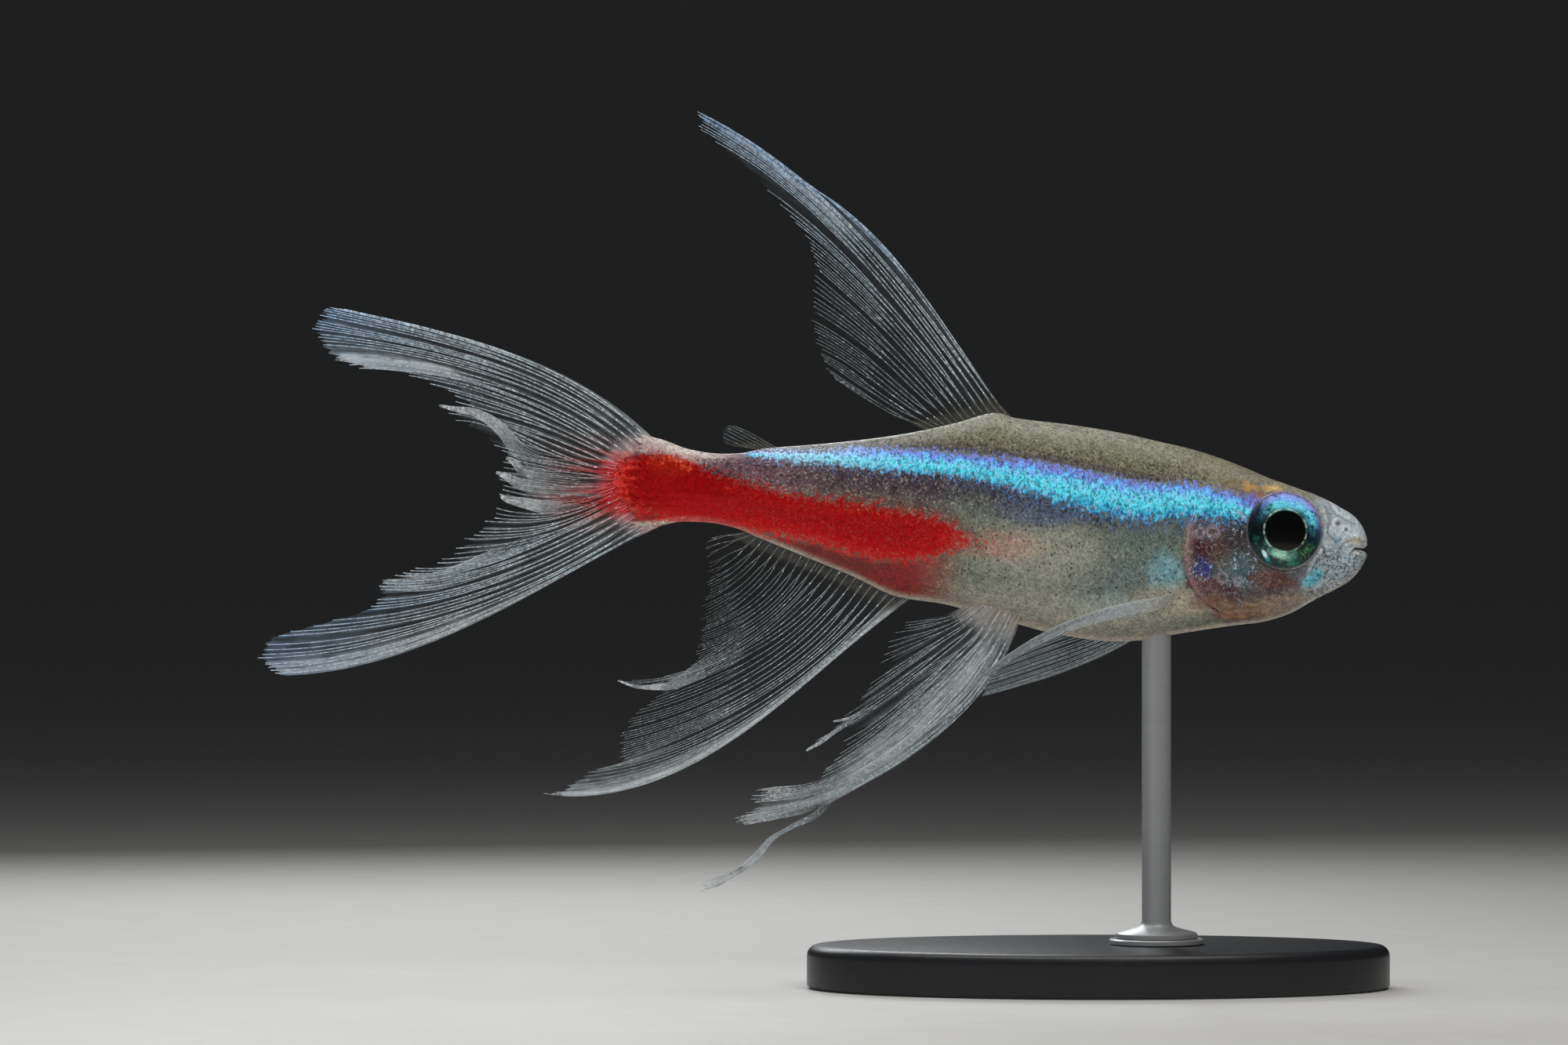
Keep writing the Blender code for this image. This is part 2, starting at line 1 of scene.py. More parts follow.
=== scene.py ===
"""Looks of a long-finned neon tetra, life size, on a small display stand.

The fish's pieces are shaped level, in the fish's own frame: s runs back from the snout tip, y to
the fish's left and z up, in millimetres. Their objects carry the pitch and height at which the
fish stands. The skin, its scales, the eyes and the fins take the places of the plain solids.
"""
import json
import math

import bmesh
import bpy
import numpy as np
from mathutils import Matrix, Vector

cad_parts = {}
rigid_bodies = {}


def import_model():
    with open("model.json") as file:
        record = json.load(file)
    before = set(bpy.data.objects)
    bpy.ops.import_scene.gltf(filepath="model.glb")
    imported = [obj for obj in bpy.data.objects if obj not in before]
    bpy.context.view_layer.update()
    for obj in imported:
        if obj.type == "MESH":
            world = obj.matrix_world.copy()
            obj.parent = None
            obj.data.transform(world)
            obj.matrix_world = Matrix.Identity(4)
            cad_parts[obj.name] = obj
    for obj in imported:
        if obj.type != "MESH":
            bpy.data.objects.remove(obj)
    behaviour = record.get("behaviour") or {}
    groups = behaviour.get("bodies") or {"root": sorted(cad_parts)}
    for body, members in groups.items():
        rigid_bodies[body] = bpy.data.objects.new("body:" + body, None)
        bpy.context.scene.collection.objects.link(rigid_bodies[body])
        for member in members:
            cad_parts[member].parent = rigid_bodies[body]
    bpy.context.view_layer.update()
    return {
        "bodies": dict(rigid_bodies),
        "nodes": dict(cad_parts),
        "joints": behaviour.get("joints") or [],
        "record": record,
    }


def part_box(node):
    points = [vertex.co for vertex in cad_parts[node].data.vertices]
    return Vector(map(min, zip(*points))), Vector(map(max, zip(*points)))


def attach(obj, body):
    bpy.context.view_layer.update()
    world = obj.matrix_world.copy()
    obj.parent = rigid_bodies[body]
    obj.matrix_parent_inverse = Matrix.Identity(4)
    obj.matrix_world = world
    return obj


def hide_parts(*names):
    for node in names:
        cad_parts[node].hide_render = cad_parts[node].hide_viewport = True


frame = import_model()

MM = 0.001
SNOUT_PLACE = (11.0, 0.0, 18.2)
NOSE_DOWN = 4.5
FISH_PLACE = (Matrix.Translation(Vector(SNOUT_PLACE) * MM)
              @ Matrix.Rotation(math.radians(NOSE_DOWN), 4, "Y"))

# Stations of the body: distance behind the snout, back, belly, level of the greatest width, half
# of the width there, and the section's power below and above that level.
STATIONS = (
    (0.0, -0.05, -0.05, -0.05, 0.00, 1.00, 0.90),
    (0.3, 0.80, -0.94, -0.08, 0.54, 1.00, 0.90),
    (0.7, 1.26, -1.47, -0.10, 0.76, 1.00, 0.86),
    (1.3, 1.63, -1.96, -0.10, 0.98, 0.98, 0.80),
    (2.0, 1.92, -2.46, -0.06, 1.19, 0.95, 0.70),
    (3.0, 2.22, -3.10, 0.00, 1.44, 0.90, 0.60),
    (4.1, 2.50, -3.50, 0.05, 1.66, 0.86, 0.60),
    (5.1, 2.84, -3.70, 0.08, 1.83, 0.86, 0.69),
    (6.3, 3.20, -3.97, 0.12, 1.98, 0.87, 0.80),
    (7.5, 3.47, -4.26, 0.15, 2.07, 0.90, 0.88),
    (8.9, 3.68, -4.62, 0.20, 2.14, 0.93, 0.93),
    (10.5, 3.91, -4.77, 0.25, 2.17, 0.95, 0.95),
    (12.5, 4.07, -4.62, 0.32, 2.14, 0.96, 0.96),
    (14.7, 4.16, -4.22, 0.40, 2.02, 0.97, 0.97),
    (15.5, 4.32, -4.08, 0.42, 1.95, 0.98, 0.98),
    (17.2, 3.78, -3.76, 0.40, 1.80, 0.98, 0.98),
    (18.9, 3.26, -3.64, 0.35, 1.62, 0.98, 0.98),
    (21.0, 2.78, -2.90, 0.35, 1.38, 0.97, 0.97),
    (23.0, 2.42, -2.26, 0.36, 1.14, 0.96, 0.96),
    (25.0, 2.10, -1.62, 0.35, 0.92, 0.94, 0.94),
    (26.0, 1.83, -1.30, 0.32, 0.81, 0.92, 0.92),
    (27.0, 1.74, -1.18, 0.30, 0.71, 0.90, 0.90),
    (28.0, 1.82, -1.21, 0.30, 0.60, 0.88, 0.88),
    (29.2, 2.14, -1.50, 0.30, 0.46, 0.86, 0.86),
    (30.8, 2.40, -1.70, 0.30, 0.24, 0.84, 0.84),
)
GILL_EDGE = 7.5
GILL_EDGE_LEVEL = -1.05
TAIL_ROOT = 30.6
TAIL_ROOT_LEVEL = 0.3
TAIL_ROOT_CURVE = 0.6
EYE_PLACE = (3.47, 1.42, 0.36)
EYE_RADIUS = 1.58
EYE_DOME = 0.36
EYE_DEPTH = 0.85
EYE_AHEAD = 8.0
EYE_UP = 5.0
ORBIT_REACH = 2.2
PUPIL = (3.45, 0.385)
PUPIL_RADIUS = 0.83

# The skin's rings just behind the gill cover: how far behind its edge, and how deep they lie.
GILL_STEPS = (0.005, 0.07, 0.16)
GILL_DEPTHS = (0.11, 0.09, 0.03)

# Guide rays of each fin, front to rear: share along the root, launch angle above straight back,
# length, bend along the ray, and the part of the bend that grows towards the tip.
DORSAL_RAYS = (
    (0.00, 48, 12.7, 28, -56), (0.05, 49, 13.2, 20, -48), (0.09, 50, 17.5, -1, -28),
    (0.19, 51, 17.1, -5, -23), (0.28, 50, 16.4, -4, -22), (0.33, 50, 12.2, -10, -8),
    (0.42, 49, 9.8, -6, -9), (0.52, 48, 8.6, -9, -5), (0.62, 42, 7.6, 4, -20),
    (0.72, 34, 6.8, 19, -33), (0.82, 26, 5.7, 33, -40), (0.92, 18, 4.8, 34, -24),
    (1.00, 12, 3.8, 45, -29),
)
ADIPOSE_RAYS = (
    (0.00, 28, 1.7, -4, -18), (0.50, 23, 1.4, 0, 0), (1.00, -4, 0.7, 22, 16),
)
TAIL_UPPER_RAYS = (
    (0.00, 42, 13.7, -67, 32), (0.05, 42, 14.5, -70, 36), (0.12, 42, 14.9, -74, 41),
    (0.22, 41, 14.9, -77, 43), (0.32, 38, 14.3, -62, 25), (0.38, 35, 13.7, -50, 12),
    (0.42, 33, 12.4, -43, 6), (0.50, 29, 10.9, -13, -17), (0.60, 26, 7.9, -20, 4),
    (0.66, 17, 7.3, 10, -24), (0.75, 0, 8.0, 81, -77), (0.88, 3, 4.9, 8, 0), (1.00, -8, 5.0, 14, -8),
)
TAIL_LOWER_RAYS = (
    (0.00, -9, 5.1, 27, -8), (0.12, -34, 4.9, 50, -1), (0.25, -36, 5.9, 33, 9),
    (0.40, -36, 7.7, 19, 14), (0.50, -27, 9.9, -20, 47), (0.60, -33, 11.3, 3, 29),
    (0.70, -36, 11.9, 14, 15), (0.80, -39, 16.5, 30, 5), (0.90, -36, 17.4, 13, 17),
    (1.00, -30, 17.2, -26, 52),
)
ANAL_RAYS = (
    (0.00, -40, 17.5, -42, 88), (0.05, -45, 16.2, -12, 52), (0.10, -52, 14.5, 23, 18),
    (0.14, -55, 12.9, 42, -9), (0.22, -60, 12.3, 59, -18), (0.32, -59, 10.8, 53, -12),
    (0.41, -61, 8.7, 74, -42), (0.45, -53, 10.1, 17, 38), (0.49, -59, 7.0, 36, 0),
    (0.62, -68, 5.3, 63, -17), (0.74, -59, 4.1, 23, 11), (0.86, -53, 2.5, 26, -1),
    (0.94, -15, 1.7, -14, -5), (1.00, 1, 0.9, -21, -14),
)
PELVIC_RIGHT_RAYS = (
    (0.00, -73, 14.9, 80, -19), (0.10, -69, 13.9, 58, 2), (0.18, -62, 13.4, 20, 42),
    (0.26, -58, 12.5, 0, 52), (0.33, -56, 10.4, 13, 12), (0.45, -51, 9.1, 3, 12),
    (0.54, -45, 8.0, -12, 24), (0.585, -42, 9.5, -10, 22), (0.62, -39, 7.8, -18, 24),
    (0.71, -33, 6.1, -18, 12), (0.80, -30, 4.9, -8, 8), (0.90, -24, 3.6, 6, 4), (1.00, -16, 2.7, 6, 4),
)
PELVIC_LEFT_RAYS = (
    (0.00, -78, 11.6, 92, -47), (0.05, -79, 11.6, 97, -50), (0.09, -82, 12.2, 145, -104),
    (0.14, -86, 11.2, 142, -97), (0.25, -86, 10.5, 133, -89), (0.50, -82, 8.5, 118, -82),
    (0.80, -80, 5.6, 120, -84), (1.00, -78, 3.6, 124, -84),
)
PECTORAL_RIGHT_RAYS = (
    (0.00, -7, 11.1, -42, -7), (0.50, -8, 9.4, -29, -11), (1.00, -12, 7.5, -5, -24),
)
PECTORAL_LEFT_RAYS = (
    (0.00, -45, 8.4, 47, -21), (0.35, -41, 8.4, 46, -29), (0.70, -34, 7.9, 28, -20),
    (1.00, -25, 7.4, 21, -35),
)

# Strands of the long fins, which leave their sheets: number of rays, how milky the web is, widths
# from the first point to the last, and the path as points of distance behind the snout and height.
TAIL_UPPER_STRANDS = (
    (7, 0.60, (0.50, 0.46, 0.42, 0.44, 0.40, 0.34, 0.14),
     ((36.60, 3.30), (37.52, 3.75), (38.38, 4.13), (38.98, 4.30), (40.86, 4.27), (42.05, 4.38),
      (42.93, 4.40))),
    (8, 0.30, (1.00, 0.85, 0.65, 0.50, 0.32, 0.08),
     ((32.47, 0.58), (34.11, 0.78), (35.09, 1.23), (35.73, 1.89), (36.48, 2.42), (37.20, 2.65),
      (37.91, 2.71), (38.51, 2.79))),
    (7, 0.16, (0.60, 0.60, 0.52, 0.40, 0.16),
     ((32.44, 0.28), (33.95, 0.28), (34.78, 0.36), (35.29, 0.75), (35.59, 0.84))),
)
TAIL_LOWER_STRANDS = (
    (7, 0.16, (0.60, 0.60, 0.52, 0.40, 0.16),
     ((32.42, -0.13), (33.92, -0.21), (34.86, -0.16), (35.59, 0.13), (35.95, 0.22))),
    (8, 0.28, (0.50, 0.62, 0.60, 0.52, 0.40, 0.14),
     ((31.73, -0.65), (32.70, -0.76), (33.85, -1.03), (34.80, -0.92), (35.40, -0.85),
      (35.71, -0.64))),
    (7, 0.60, (0.55, 0.50, 0.46, 0.40, 0.30, 0.06),
     ((33.87, -2.25), (34.89, -2.76), (36.03, -3.31), (37.16, -3.87), (38.31, -4.26),
      (39.36, -4.30))),
    (8, 0.12, (0.50, 0.60, 0.62, 0.55, 0.40),
     ((36.02, -3.78), (37.13, -4.22), (38.28, -4.55), (39.45, -4.70), (40.33, -4.74))),
)
ANAL_STRANDS = (
    (8, 0.45, (1.10, 0.85, 0.60, 0.34, 0.16, 0.05),
     ((25.35, -6.15), (26.55, -6.97), (27.41, -7.58), (28.29, -8.02), (29.37, -8.12),
      (30.26, -7.92))),
)
PELVIC_RIGHT_STRANDS = (
    (3, 0.3, (0.24, 0.18, 0.14, 0.06),
     ((19.55, -8.05), (20.26, -8.47), (20.70, -8.69), (21.32, -8.86))),
    (3, 0.3, (0.26, 0.20, 0.14, 0.18, 0.08),
     ((19.74, -8.19), (20.42, -8.67), (21.11, -9.18), (21.79, -9.77), (22.34, -10.15))),
    (8, 0.05, (0.45, 0.48, 0.54, 0.58, 0.52),
     ((20.72, -10.96), (21.47, -11.47), (22.54, -11.83), (23.43, -11.99), (24.33, -12.16))),
    (8, 0.10, (0.45, 0.42, 0.38, 0.42, 0.40),
     ((21.45, -11.89), (22.13, -12.44), (23.19, -12.79), (24.26, -13.06), (24.97, -13.29))),
)
PELVIC_LEFT_STRANDS = (
    (6, 0.60, (0.40, 0.34, 0.30, 0.24, 0.16, 0.26, 0.32, 0.20, 0.40, 0.34),
     ((20.36, -11.42), (21.06, -12.17), (21.72, -12.95), (22.59, -13.47), (23.45, -14.08),
      (23.94, -14.76), (24.62, -15.45), (25.48, -15.97), (26.32, -16.36))),
)

# Roots of the fins on the body: first and last distance behind the snout, and the turns round the
# body there. The tail fin's halves run along the root of the tail between two heights.
DORSAL_ROOT = (15.34, 18.86, 90.0, 90.0)
ADIPOSE_ROOT = (24.9, 26.05, 90.0, 90.0)
ANAL_ROOT = (18.8, 26.05, -90.0, -90.0)
PELVIC_RIGHT_ROOT = (13.95, 15.9, -66.0, -64.0)
PELVIC_LEFT_ROOT = (13.85, 15.2, -66.0, -66.0)
PECTORAL_RIGHT_ROOT = (7.45, 7.70, -36.0, -44.0)
PECTORAL_LEFT_ROOT = (7.9, 8.1, -50.0, -40.0)
TAIL_UPPER_ROOT = (1.9, 0.30)
TAIL_LOWER_ROOT = (0.28, -1.45)
ROOT_LIFT = 0.25
SIDE_ROOT_LIFT = 0.52

# Markings seen from the side, as points of distance behind the snout and height.
STRIPE_TOP = ((3.6, 1.35), (4.7, 1.48), (5.23, 1.60), (6.71, 1.93), (7.98, 1.99), (9.59, 1.90),
              (11.03, 2.11), (14.36, 2.43), (17.67, 2.53), (20.96, 2.43), (22.63, 2.17),
              (25.75, 1.89), (27.0, 1.6))
STRIPE_BOTTOM = ((3.6, 0.95), (4.65, 0.83), (5.15, 0.66), (6.6, 0.55), (7.86, 0.48),
                 (9.46, 0.26), (10.9, 0.40), (14.26, 1.14), (17.59, 1.53), (20.89, 1.53),
                 (22.58, 1.62), (25.73, 1.66), (27.0, 1.5))
RED_TOP = ((15.98, -1.19), (16.4, -0.87), (17.45, -0.27), (19.12, 0.02), (20.75, 0.15),
           (23.35, 0.30), (25.12, 0.58), (26.44, 0.83), (27.76, 1.20), (29.07, 1.48),
           (31.5, 1.45))
RED_BOTTOM = ((15.98, -1.19), (16.36, -1.29), (17.34, -1.69), (18.95, -2.14), (20.61, -2.11),
              (22.32, -1.73), (23.21, -1.62), (25.86, -1.40), (28.13, -1.22), (29.35, -0.92),
              (31.5, -0.65))

SKIN_DEPTH = 0.035
HEAD_RINGS = 195
BODY_RINGS = 180
SKIN_AROUND = 256
TAIL_SHEATH = 0.36

# The map of the body: where it starts, how much of the map it takes, and the length it covers.
MAP_START, MAP_SPAN, MAP_LENGTH = 0.02, 0.96, 31.5


def curve_through(points, values=None):
    """A monotone cubic through the values at the knots, as a function of an array."""
    if values is None:
        points, values = zip(*points)
    knots, values = np.array(points, float), np.array(values, float)
    steps = np.diff(values) / np.diff(knots)
    first, second = steps[:-1], steps[1:]
    total = np.where(first * second > 0, first + second, 1.0)
    inner = np.where(first * second > 0, 2 * first * second / total, 0.0)
    slopes = np.concatenate([steps[:1], inner, steps[-1:]])

    def at(x):
        x = np.clip(x, knots[0], knots[-1])
        i = np.clip(np.searchsorted(knots, x, side="right") - 1, 0, len(knots) - 2)
        width = knots[i + 1] - knots[i]
        r = (x - knots[i]) / width
        ends = values[i] * (1 + 2 * r) * (1 - r) ** 2 + values[i + 1] * r * r * (3 - 2 * r)
        return ends + width * r * (1 - r) * (slopes[i] * (1 - r) - slopes[i + 1] * r)

    return at


SECTION_CURVES = [curve_through([math.sqrt(row[0]) for row in STATIONS],
                                [row[column] for row in STATIONS]) for column in range(1, 7)]
stripe_top = curve_through(STRIPE_TOP)
stripe_bottom = curve_through(STRIPE_BOTTOM)
red_top = curve_through(RED_TOP)
red_bottom = curve_through(RED_BOTTOM)


def rise(low, high, x):
    """0 up to low, 1 from high on, and an S-curve between."""
    share = np.clip((x - low) / (high - low), 0.0, 1.0)
    return share * share * (3.0 - 2.0 * share)


def fall(low, high, x):
    """1 up to low, 0 from high on, and an S-curve between."""
    return 1.0 - rise(low, high, x)


def hump(x, middle, width):
    """A bell of height 1 round the middle."""
    return np.exp(-((x - middle) / width) ** 2)


def patch(s, z, middle, reach, softness=0.35):
    """1 inside an oval of the side view, fading to 0 over a soft edge."""
    away = np.hypot((s - middle[0]) / reach[0], (z - middle[1]) / reach[1])
    return fall(1.0 - softness, 1.0 + softness, away)


LATTICE = np.random.default_rng(11).random((256, 256))


def mottle(x, y, shift=0):
    """Smooth noise of two coordinates, from 0 to 1, about one wave to a unit."""
    i, j = np.floor(x).astype(int), np.floor(y).astype(int)
    u, v = x - i, y - j
    u, v = u * u * (3 - 2 * u), v * v * (3 - 2 * v)
    i, j = i + shift * 37, j + shift * 71
    i, following, j, above = i % 256, (i + 1) % 256, j % 256, (j + 1) % 256
    low = LATTICE[i, j] * (1 - u) + LATTICE[following, j] * u
    high = LATTICE[i, above] * (1 - u) + LATTICE[following, above] * u
    return low * (1 - v) + high * v


def nearest_on(line, s, z):
    """The distance to a line of points in the side view, the share along it, and the side."""
    best = np.full(np.shape(s), 1e9)
    share = np.zeros(np.shape(s))
    side = np.zeros(np.shape(s))
    pieces = len(line) - 1
    for k, ((s0, z0), (s1, z1)) in enumerate(zip(line, line[1:])):
        ds, dz = s1 - s0, z1 - z0
        along = np.clip(((s - s0) * ds + (z - z0) * dz) / (ds * ds + dz * dz), 0.0, 1.0)
        away_s, away_z = s - s0 - along * ds, z - z0 - along * dz
        away = np.hypot(away_s, away_z)
        nearer = away < best
        best = np.where(nearer, away, best)
        share = np.where(nearer, (k + along) / pieces, share)
        side = np.where(nearer, np.sign(ds * away_z - dz * away_s), side)
    return best, share, side


def gill_edge(z):
    """How far behind the snout the gill cover ends at a height."""
    drop = z - GILL_EDGE_LEVEL
    return GILL_EDGE - np.where(drop > 0, 0.058, 0.30) * drop * drop


def tail_root(z):
    """How far behind the snout the tail fin starts at a height."""
    return TAIL_ROOT - TAIL_ROOT_CURVE * (z - TAIL_ROOT_LEVEL) ** 2


def eye_rim(s, z):
    """How far out the plane of the eye's rim lies."""
    ahead = math.tan(math.radians(EYE_AHEAD)) * (s - EYE_PLACE[0])
    return EYE_PLACE[1] + ahead - math.tan(math.radians(EYE_UP)) * (z - EYE_PLACE[2])


def body_points(s, turn):
    """Points of the plain body. A turn of 0 is the right side, 90 the back, 180 the left."""
    root = np.sqrt(np.maximum(s, 0.0))
    back, belly, level, half_width, power, crown = [curve(root) for curve in SECTION_CURVES]
    across, up = np.cos(np.radians(turn)), np.sin(np.radians(turn))
    out = half_width * np.abs(across) ** np.where(up > 0, crown, power)
    z = level + np.where(up > 0, back - level, level - belly) * up
    reach = np.hypot(s - EYE_PLACE[0], z - EYE_PLACE[2])
    share = rise(0.0, 1.0, (ORBIT_REACH - reach) / (ORBIT_REACH - EYE_RADIUS))
    share = share * np.minimum(out / 0.9, 1.0)
    out = out + share * np.maximum(eye_rim(s, z) - out, 0.0)
    return np.stack([s + 0.0 * turn, -np.copysign(out, across), z], -1)


def body_normals(s, turn):
    """Outward directions of the plain body."""
    step, swing = 0.02, 0.4
    along = body_points(s + step, turn) - body_points(np.maximum(s - step, 0.0), turn)
    around = body_points(s, turn + swing) - body_points(s, turn - swing)
    normal = np.cross(along, around)
    normal /= np.maximum(np.linalg.norm(normal, axis=-1, keepdims=True), 1e-12)
    points = body_points(s, turn)
    outward = points - np.stack([points[..., 0], 0 * points[..., 1],
                                 SECTION_CURVES[2](np.sqrt(np.maximum(s, 0)))], -1)
    flip = np.sum(normal * outward, -1, keepdims=True) < 0
    return np.where(flip, -normal, normal)


# Lines of the head in the side view, and small round places as distance, height and radius.
MOUTH = ((-0.5, -0.15), (0.20, -0.14), (0.42, -0.13), (0.60, -0.26))
SNOUT_FOLDS = (((1.85, 1.44), (1.62, 0.94), (1.70, 0.42), (1.40, 0.09)),
               ((0.62, 0.95), (0.95, 1.08), (1.30, 1.25), (1.60, 1.62)),
               ((0.20, 0.25), (0.60, 0.28), (0.95, 0.12), (1.20, -0.25)),
               ((1.90, -0.10), (1.75, -0.50), (2.05, -0.80), (2.30, -1.30)))
MAXILLA = ((0.52, -0.10), (0.95, -0.08), (1.45, -0.22), (1.90, -0.52), (2.20, -0.95))
JAW_HINGE = ((2.25, -1.05), (2.45, -1.70), (3.00, -2.55))
PREOPERCLE = ((5.00, 1.05), (5.30, 0.30), (5.28, -0.70), (4.95, -1.65), (4.25, -2.20),
              (3.20, -2.40))
SUBOPERCLE = ((5.20, -1.75), (6.10, -2.12), (7.05, -2.35))
NOSTRILS = ((1.22, 0.84, 0.11), (0.87, 0.61, 0.08))
BRANCHIOSTEGALS = (((4.0, -2.62), (5.4, -2.78), (6.9, -2.72)),
                   ((4.0, -2.85), (5.4, -3.08), (6.7, -3.05)),
                   ((4.1, -3.06), (5.3, -3.32), (6.4, -3.36)))
GILL_RINGS = ((6.95, 0.02, 0.19), (6.42, 0.10, 0.23), (5.85, -1.75, 0.20), (5.20, -1.85, 0.17))

# Patches of colour on the head: middle, reach, tilt up towards the rear, levels and share.
HEAD_PATCHES = (
    ((2.9, 2.15), (1.6, 0.30), 12, (146, 140, 122), 0.7),
    ((5.4, 1.95), (0.8, 0.35), 14, (122, 104, 70), 0.6),
    ((4.95, 2.06), (0.34, 0.14), 5, (190, 146, 76), 0.85),
    ((4.10, 2.02), (0.36, 0.16), 5, (204, 166, 92), 0.85),
    ((4.62, 1.74), (0.35, 0.12), 5, (170, 100, 78), 0.6),
    ((4.85, 1.15), (0.55, 0.55), 0, (104, 104, 186), 0.9),
    ((5.5, 0.05), (0.55, 0.85), 0, (54, 50, 50), 1.0),
    ((6.6, 0.30), (0.75, 0.60), 0, (84, 66, 66), 0.8),
    ((6.75, -0.70), (0.55, 0.45), 0, (66, 16, 27), 1.0),
    ((6.05, -0.75), (0.35, 0.50), 0, (76, 42, 44), 0.85),
    ((6.72, -1.50), (0.42, 0.42), 0, (44, 50, 120), 1.0),
    ((5.75, -1.35), (0.45, 0.60), 0, (70, 80, 74), 0.85),
    ((5.05, -1.45), (0.50, 0.80), 20, (68, 98, 106), 0.95),
    ((4.55, -0.95), (0.35, 0.45), 0, (60, 62, 58), 0.8),
    ((6.6, -2.15), (0.75, 0.35), -5, (90, 46, 54), 0.9),
    ((5.45, -2.30), (0.35, 0.50), -25, (62, 28, 40), 0.95),
    ((6.3, -2.75), (0.80, 0.25), -8, (122, 80, 62), 0.7),
    ((3.75, -1.75), (1.00, 0.30), 4, (90, 46, 40), 0.95),
    ((2.75, -1.15), (0.45, 0.35), -35, (76, 82, 94), 0.8),
    ((2.05, -1.42), (0.52, 0.24), -38, (84, 192, 212), 0.95),
    ((1.18, 0.02), (0.18, 0.22), -30, (92, 136, 164), 0.8),
    ((0.55, 0.20), (0.50, 0.10), -18, (216, 208, 178), 0.9),
    ((4.6, -3.00), (1.5, 0.42), -6, (138, 108, 84), 0.9),
    ((5.0, -3.20), (0.9, 0.20), -6, (160, 104, 78), 0.45),
    ((2.9, -2.45), (1.2, 0.35), -22, (150, 132, 116), 0.8),
)
# The iris over the pupil: share of the way from the pupil to the rim, and levels.
IRIS_BANDS = ((0.00, (34, 100, 92)), (0.14, (100, 198, 220)), (0.30, (104, 204, 255)),
              (0.50, (116, 202, 255)), (0.72, (142, 180, 255)), (1.00, (172, 168, 246)))


def gill_span(z):
    """How free the rear edge of the gill cover is at a height."""
    return rise(1.25, 0.7, z) * rise(-3.7, -3.0, z)


def fold(line, s, z, shapes, grown=None, fading=None):
    """Ridges and grooves along a line, each of height, place beside the line and width.

    They are grown at the first share of the line's length and start fading at the second."""
    away, share, side = nearest_on(line, s, z)
    height = sum(height * hump(side * away, beside, width) for height, beside, width in shapes)
    if grown:
        height = height * rise(0.0, grown, share)
    if fading:
        height = height * fall(fading, 1.0, share)
    return height


def relief(s, z):
    """How far the skin stands out from the plain body, before the eye sockets are sunk."""
    out = np.full(np.shape(s), -SKIN_DEPTH)
    away = nearest_on(MOUTH, s, z)[0]
    slit = fall(0.36, 0.58, s)
    out += 0.17 * fall(0.2, 1.1, s) * rise(-0.12, -0.45, z)
    out += 0.13 * fall(0.2, 1.2, s) * rise(-0.12, 0.25, z)
    out -= slit * 0.20 * hump(away, 0, 0.028 + 0.014 * fall(0.0, 0.4, s))
    out += 0.09 * hump(s, 0.95, 0.55) * rise(-0.5, -0.95, z)
    out += slit * 0.050 * hump(away, 0.19, 0.08)
    out += fold(MAXILLA, s, z, ((0.050, 0.08, 0.09), (-0.055, -0.06, 0.05)), 0.08, 0.85)
    out += fold(JAW_HINGE, s, z, ((-0.030, 0.0, 0.07),), fading=0.7)
    for line in SNOUT_FOLDS:
        out += fold(line, s, z, ((0.040, 0.07, 0.08), (-0.040, -0.07, 0.06)), 0.2, 0.8)
    for place_s, place_z, radius in NOSTRILS:
        away = np.hypot(s - place_s, z - place_z)
        out -= 0.09 * hump(away, 0, radius * 0.80)
        out += 0.030 * hump(away, radius * 1.5, radius * 0.6)
    out += fold(PREOPERCLE, s, z, ((-0.055, -0.05, 0.07), (0.035, 0.12, 0.12)), 0.15)
    out += fold(SUBOPERCLE, s, z, ((-0.045, 0.0, 0.055),), 0.1)
    for line in BRANCHIOSTEGALS:
        out += fold(line, s, z, ((-0.035, 0.0, 0.045),), 0.2)
    reach = np.hypot(s - EYE_PLACE[0], z - EYE_PLACE[2])
    out -= 0.030 * hump(reach, 1.86, 0.09)
    out += 0.10 * hump(s, 8.05, 0.45) * hump(z, -2.75, 0.40)
    behind_edge = s - gill_edge(z)
    out += 0.085 * gill_span(z) * np.exp(np.minimum(behind_edge, 0.0) / 0.7) * (behind_edge <= 0.001)
    return out


def srgb(*levels):
    """A colour read in display levels of 0 to 255, as a linear one."""
    share = np.array(levels) / 255.0
    return np.where(share <= 0.04045, share / 12.92, ((share + 0.055) / 1.055) ** 2.4)


def lay(under, colour, share):
    """The colour laid over another with a share for each point."""
    return under + (colour - under) * share[..., None]


def painted(tint, layers):
    """The tint with layers laid over it in turn, each of display levels and a share."""
    for levels, share in layers:
        tint = lay(tint, srgb(*levels), share)
    return tint


def plain_tint(s, *levels):
    """One colour for each of the points."""
    return np.ones(np.shape(s) + (3,)) * srgb(*levels)


def blot(s, z, middle, reach, softness=0.5, ragged=0.5, tilt=0.0):
    """A patch with a ragged edge, its long way tilted up towards the rear by degrees."""
    cos, sin = math.cos(math.radians(tilt)), math.sin(math.radians(tilt))
    ds, dz = s - middle[0], z - middle[1]
    away = np.hypot((ds * cos + dz * sin) / reach[0], (dz * cos - ds * sin) / reach[1])
    coarse, fine = mottle(s * 4.3, z * 4.3, 7), mottle(s * 9.7, z * 9.7, 8)
    away = away + ragged * (0.6 * coarse + 0.4 * fine - 0.5)
    return fall(1.0 - softness, 1.0 + softness, away)


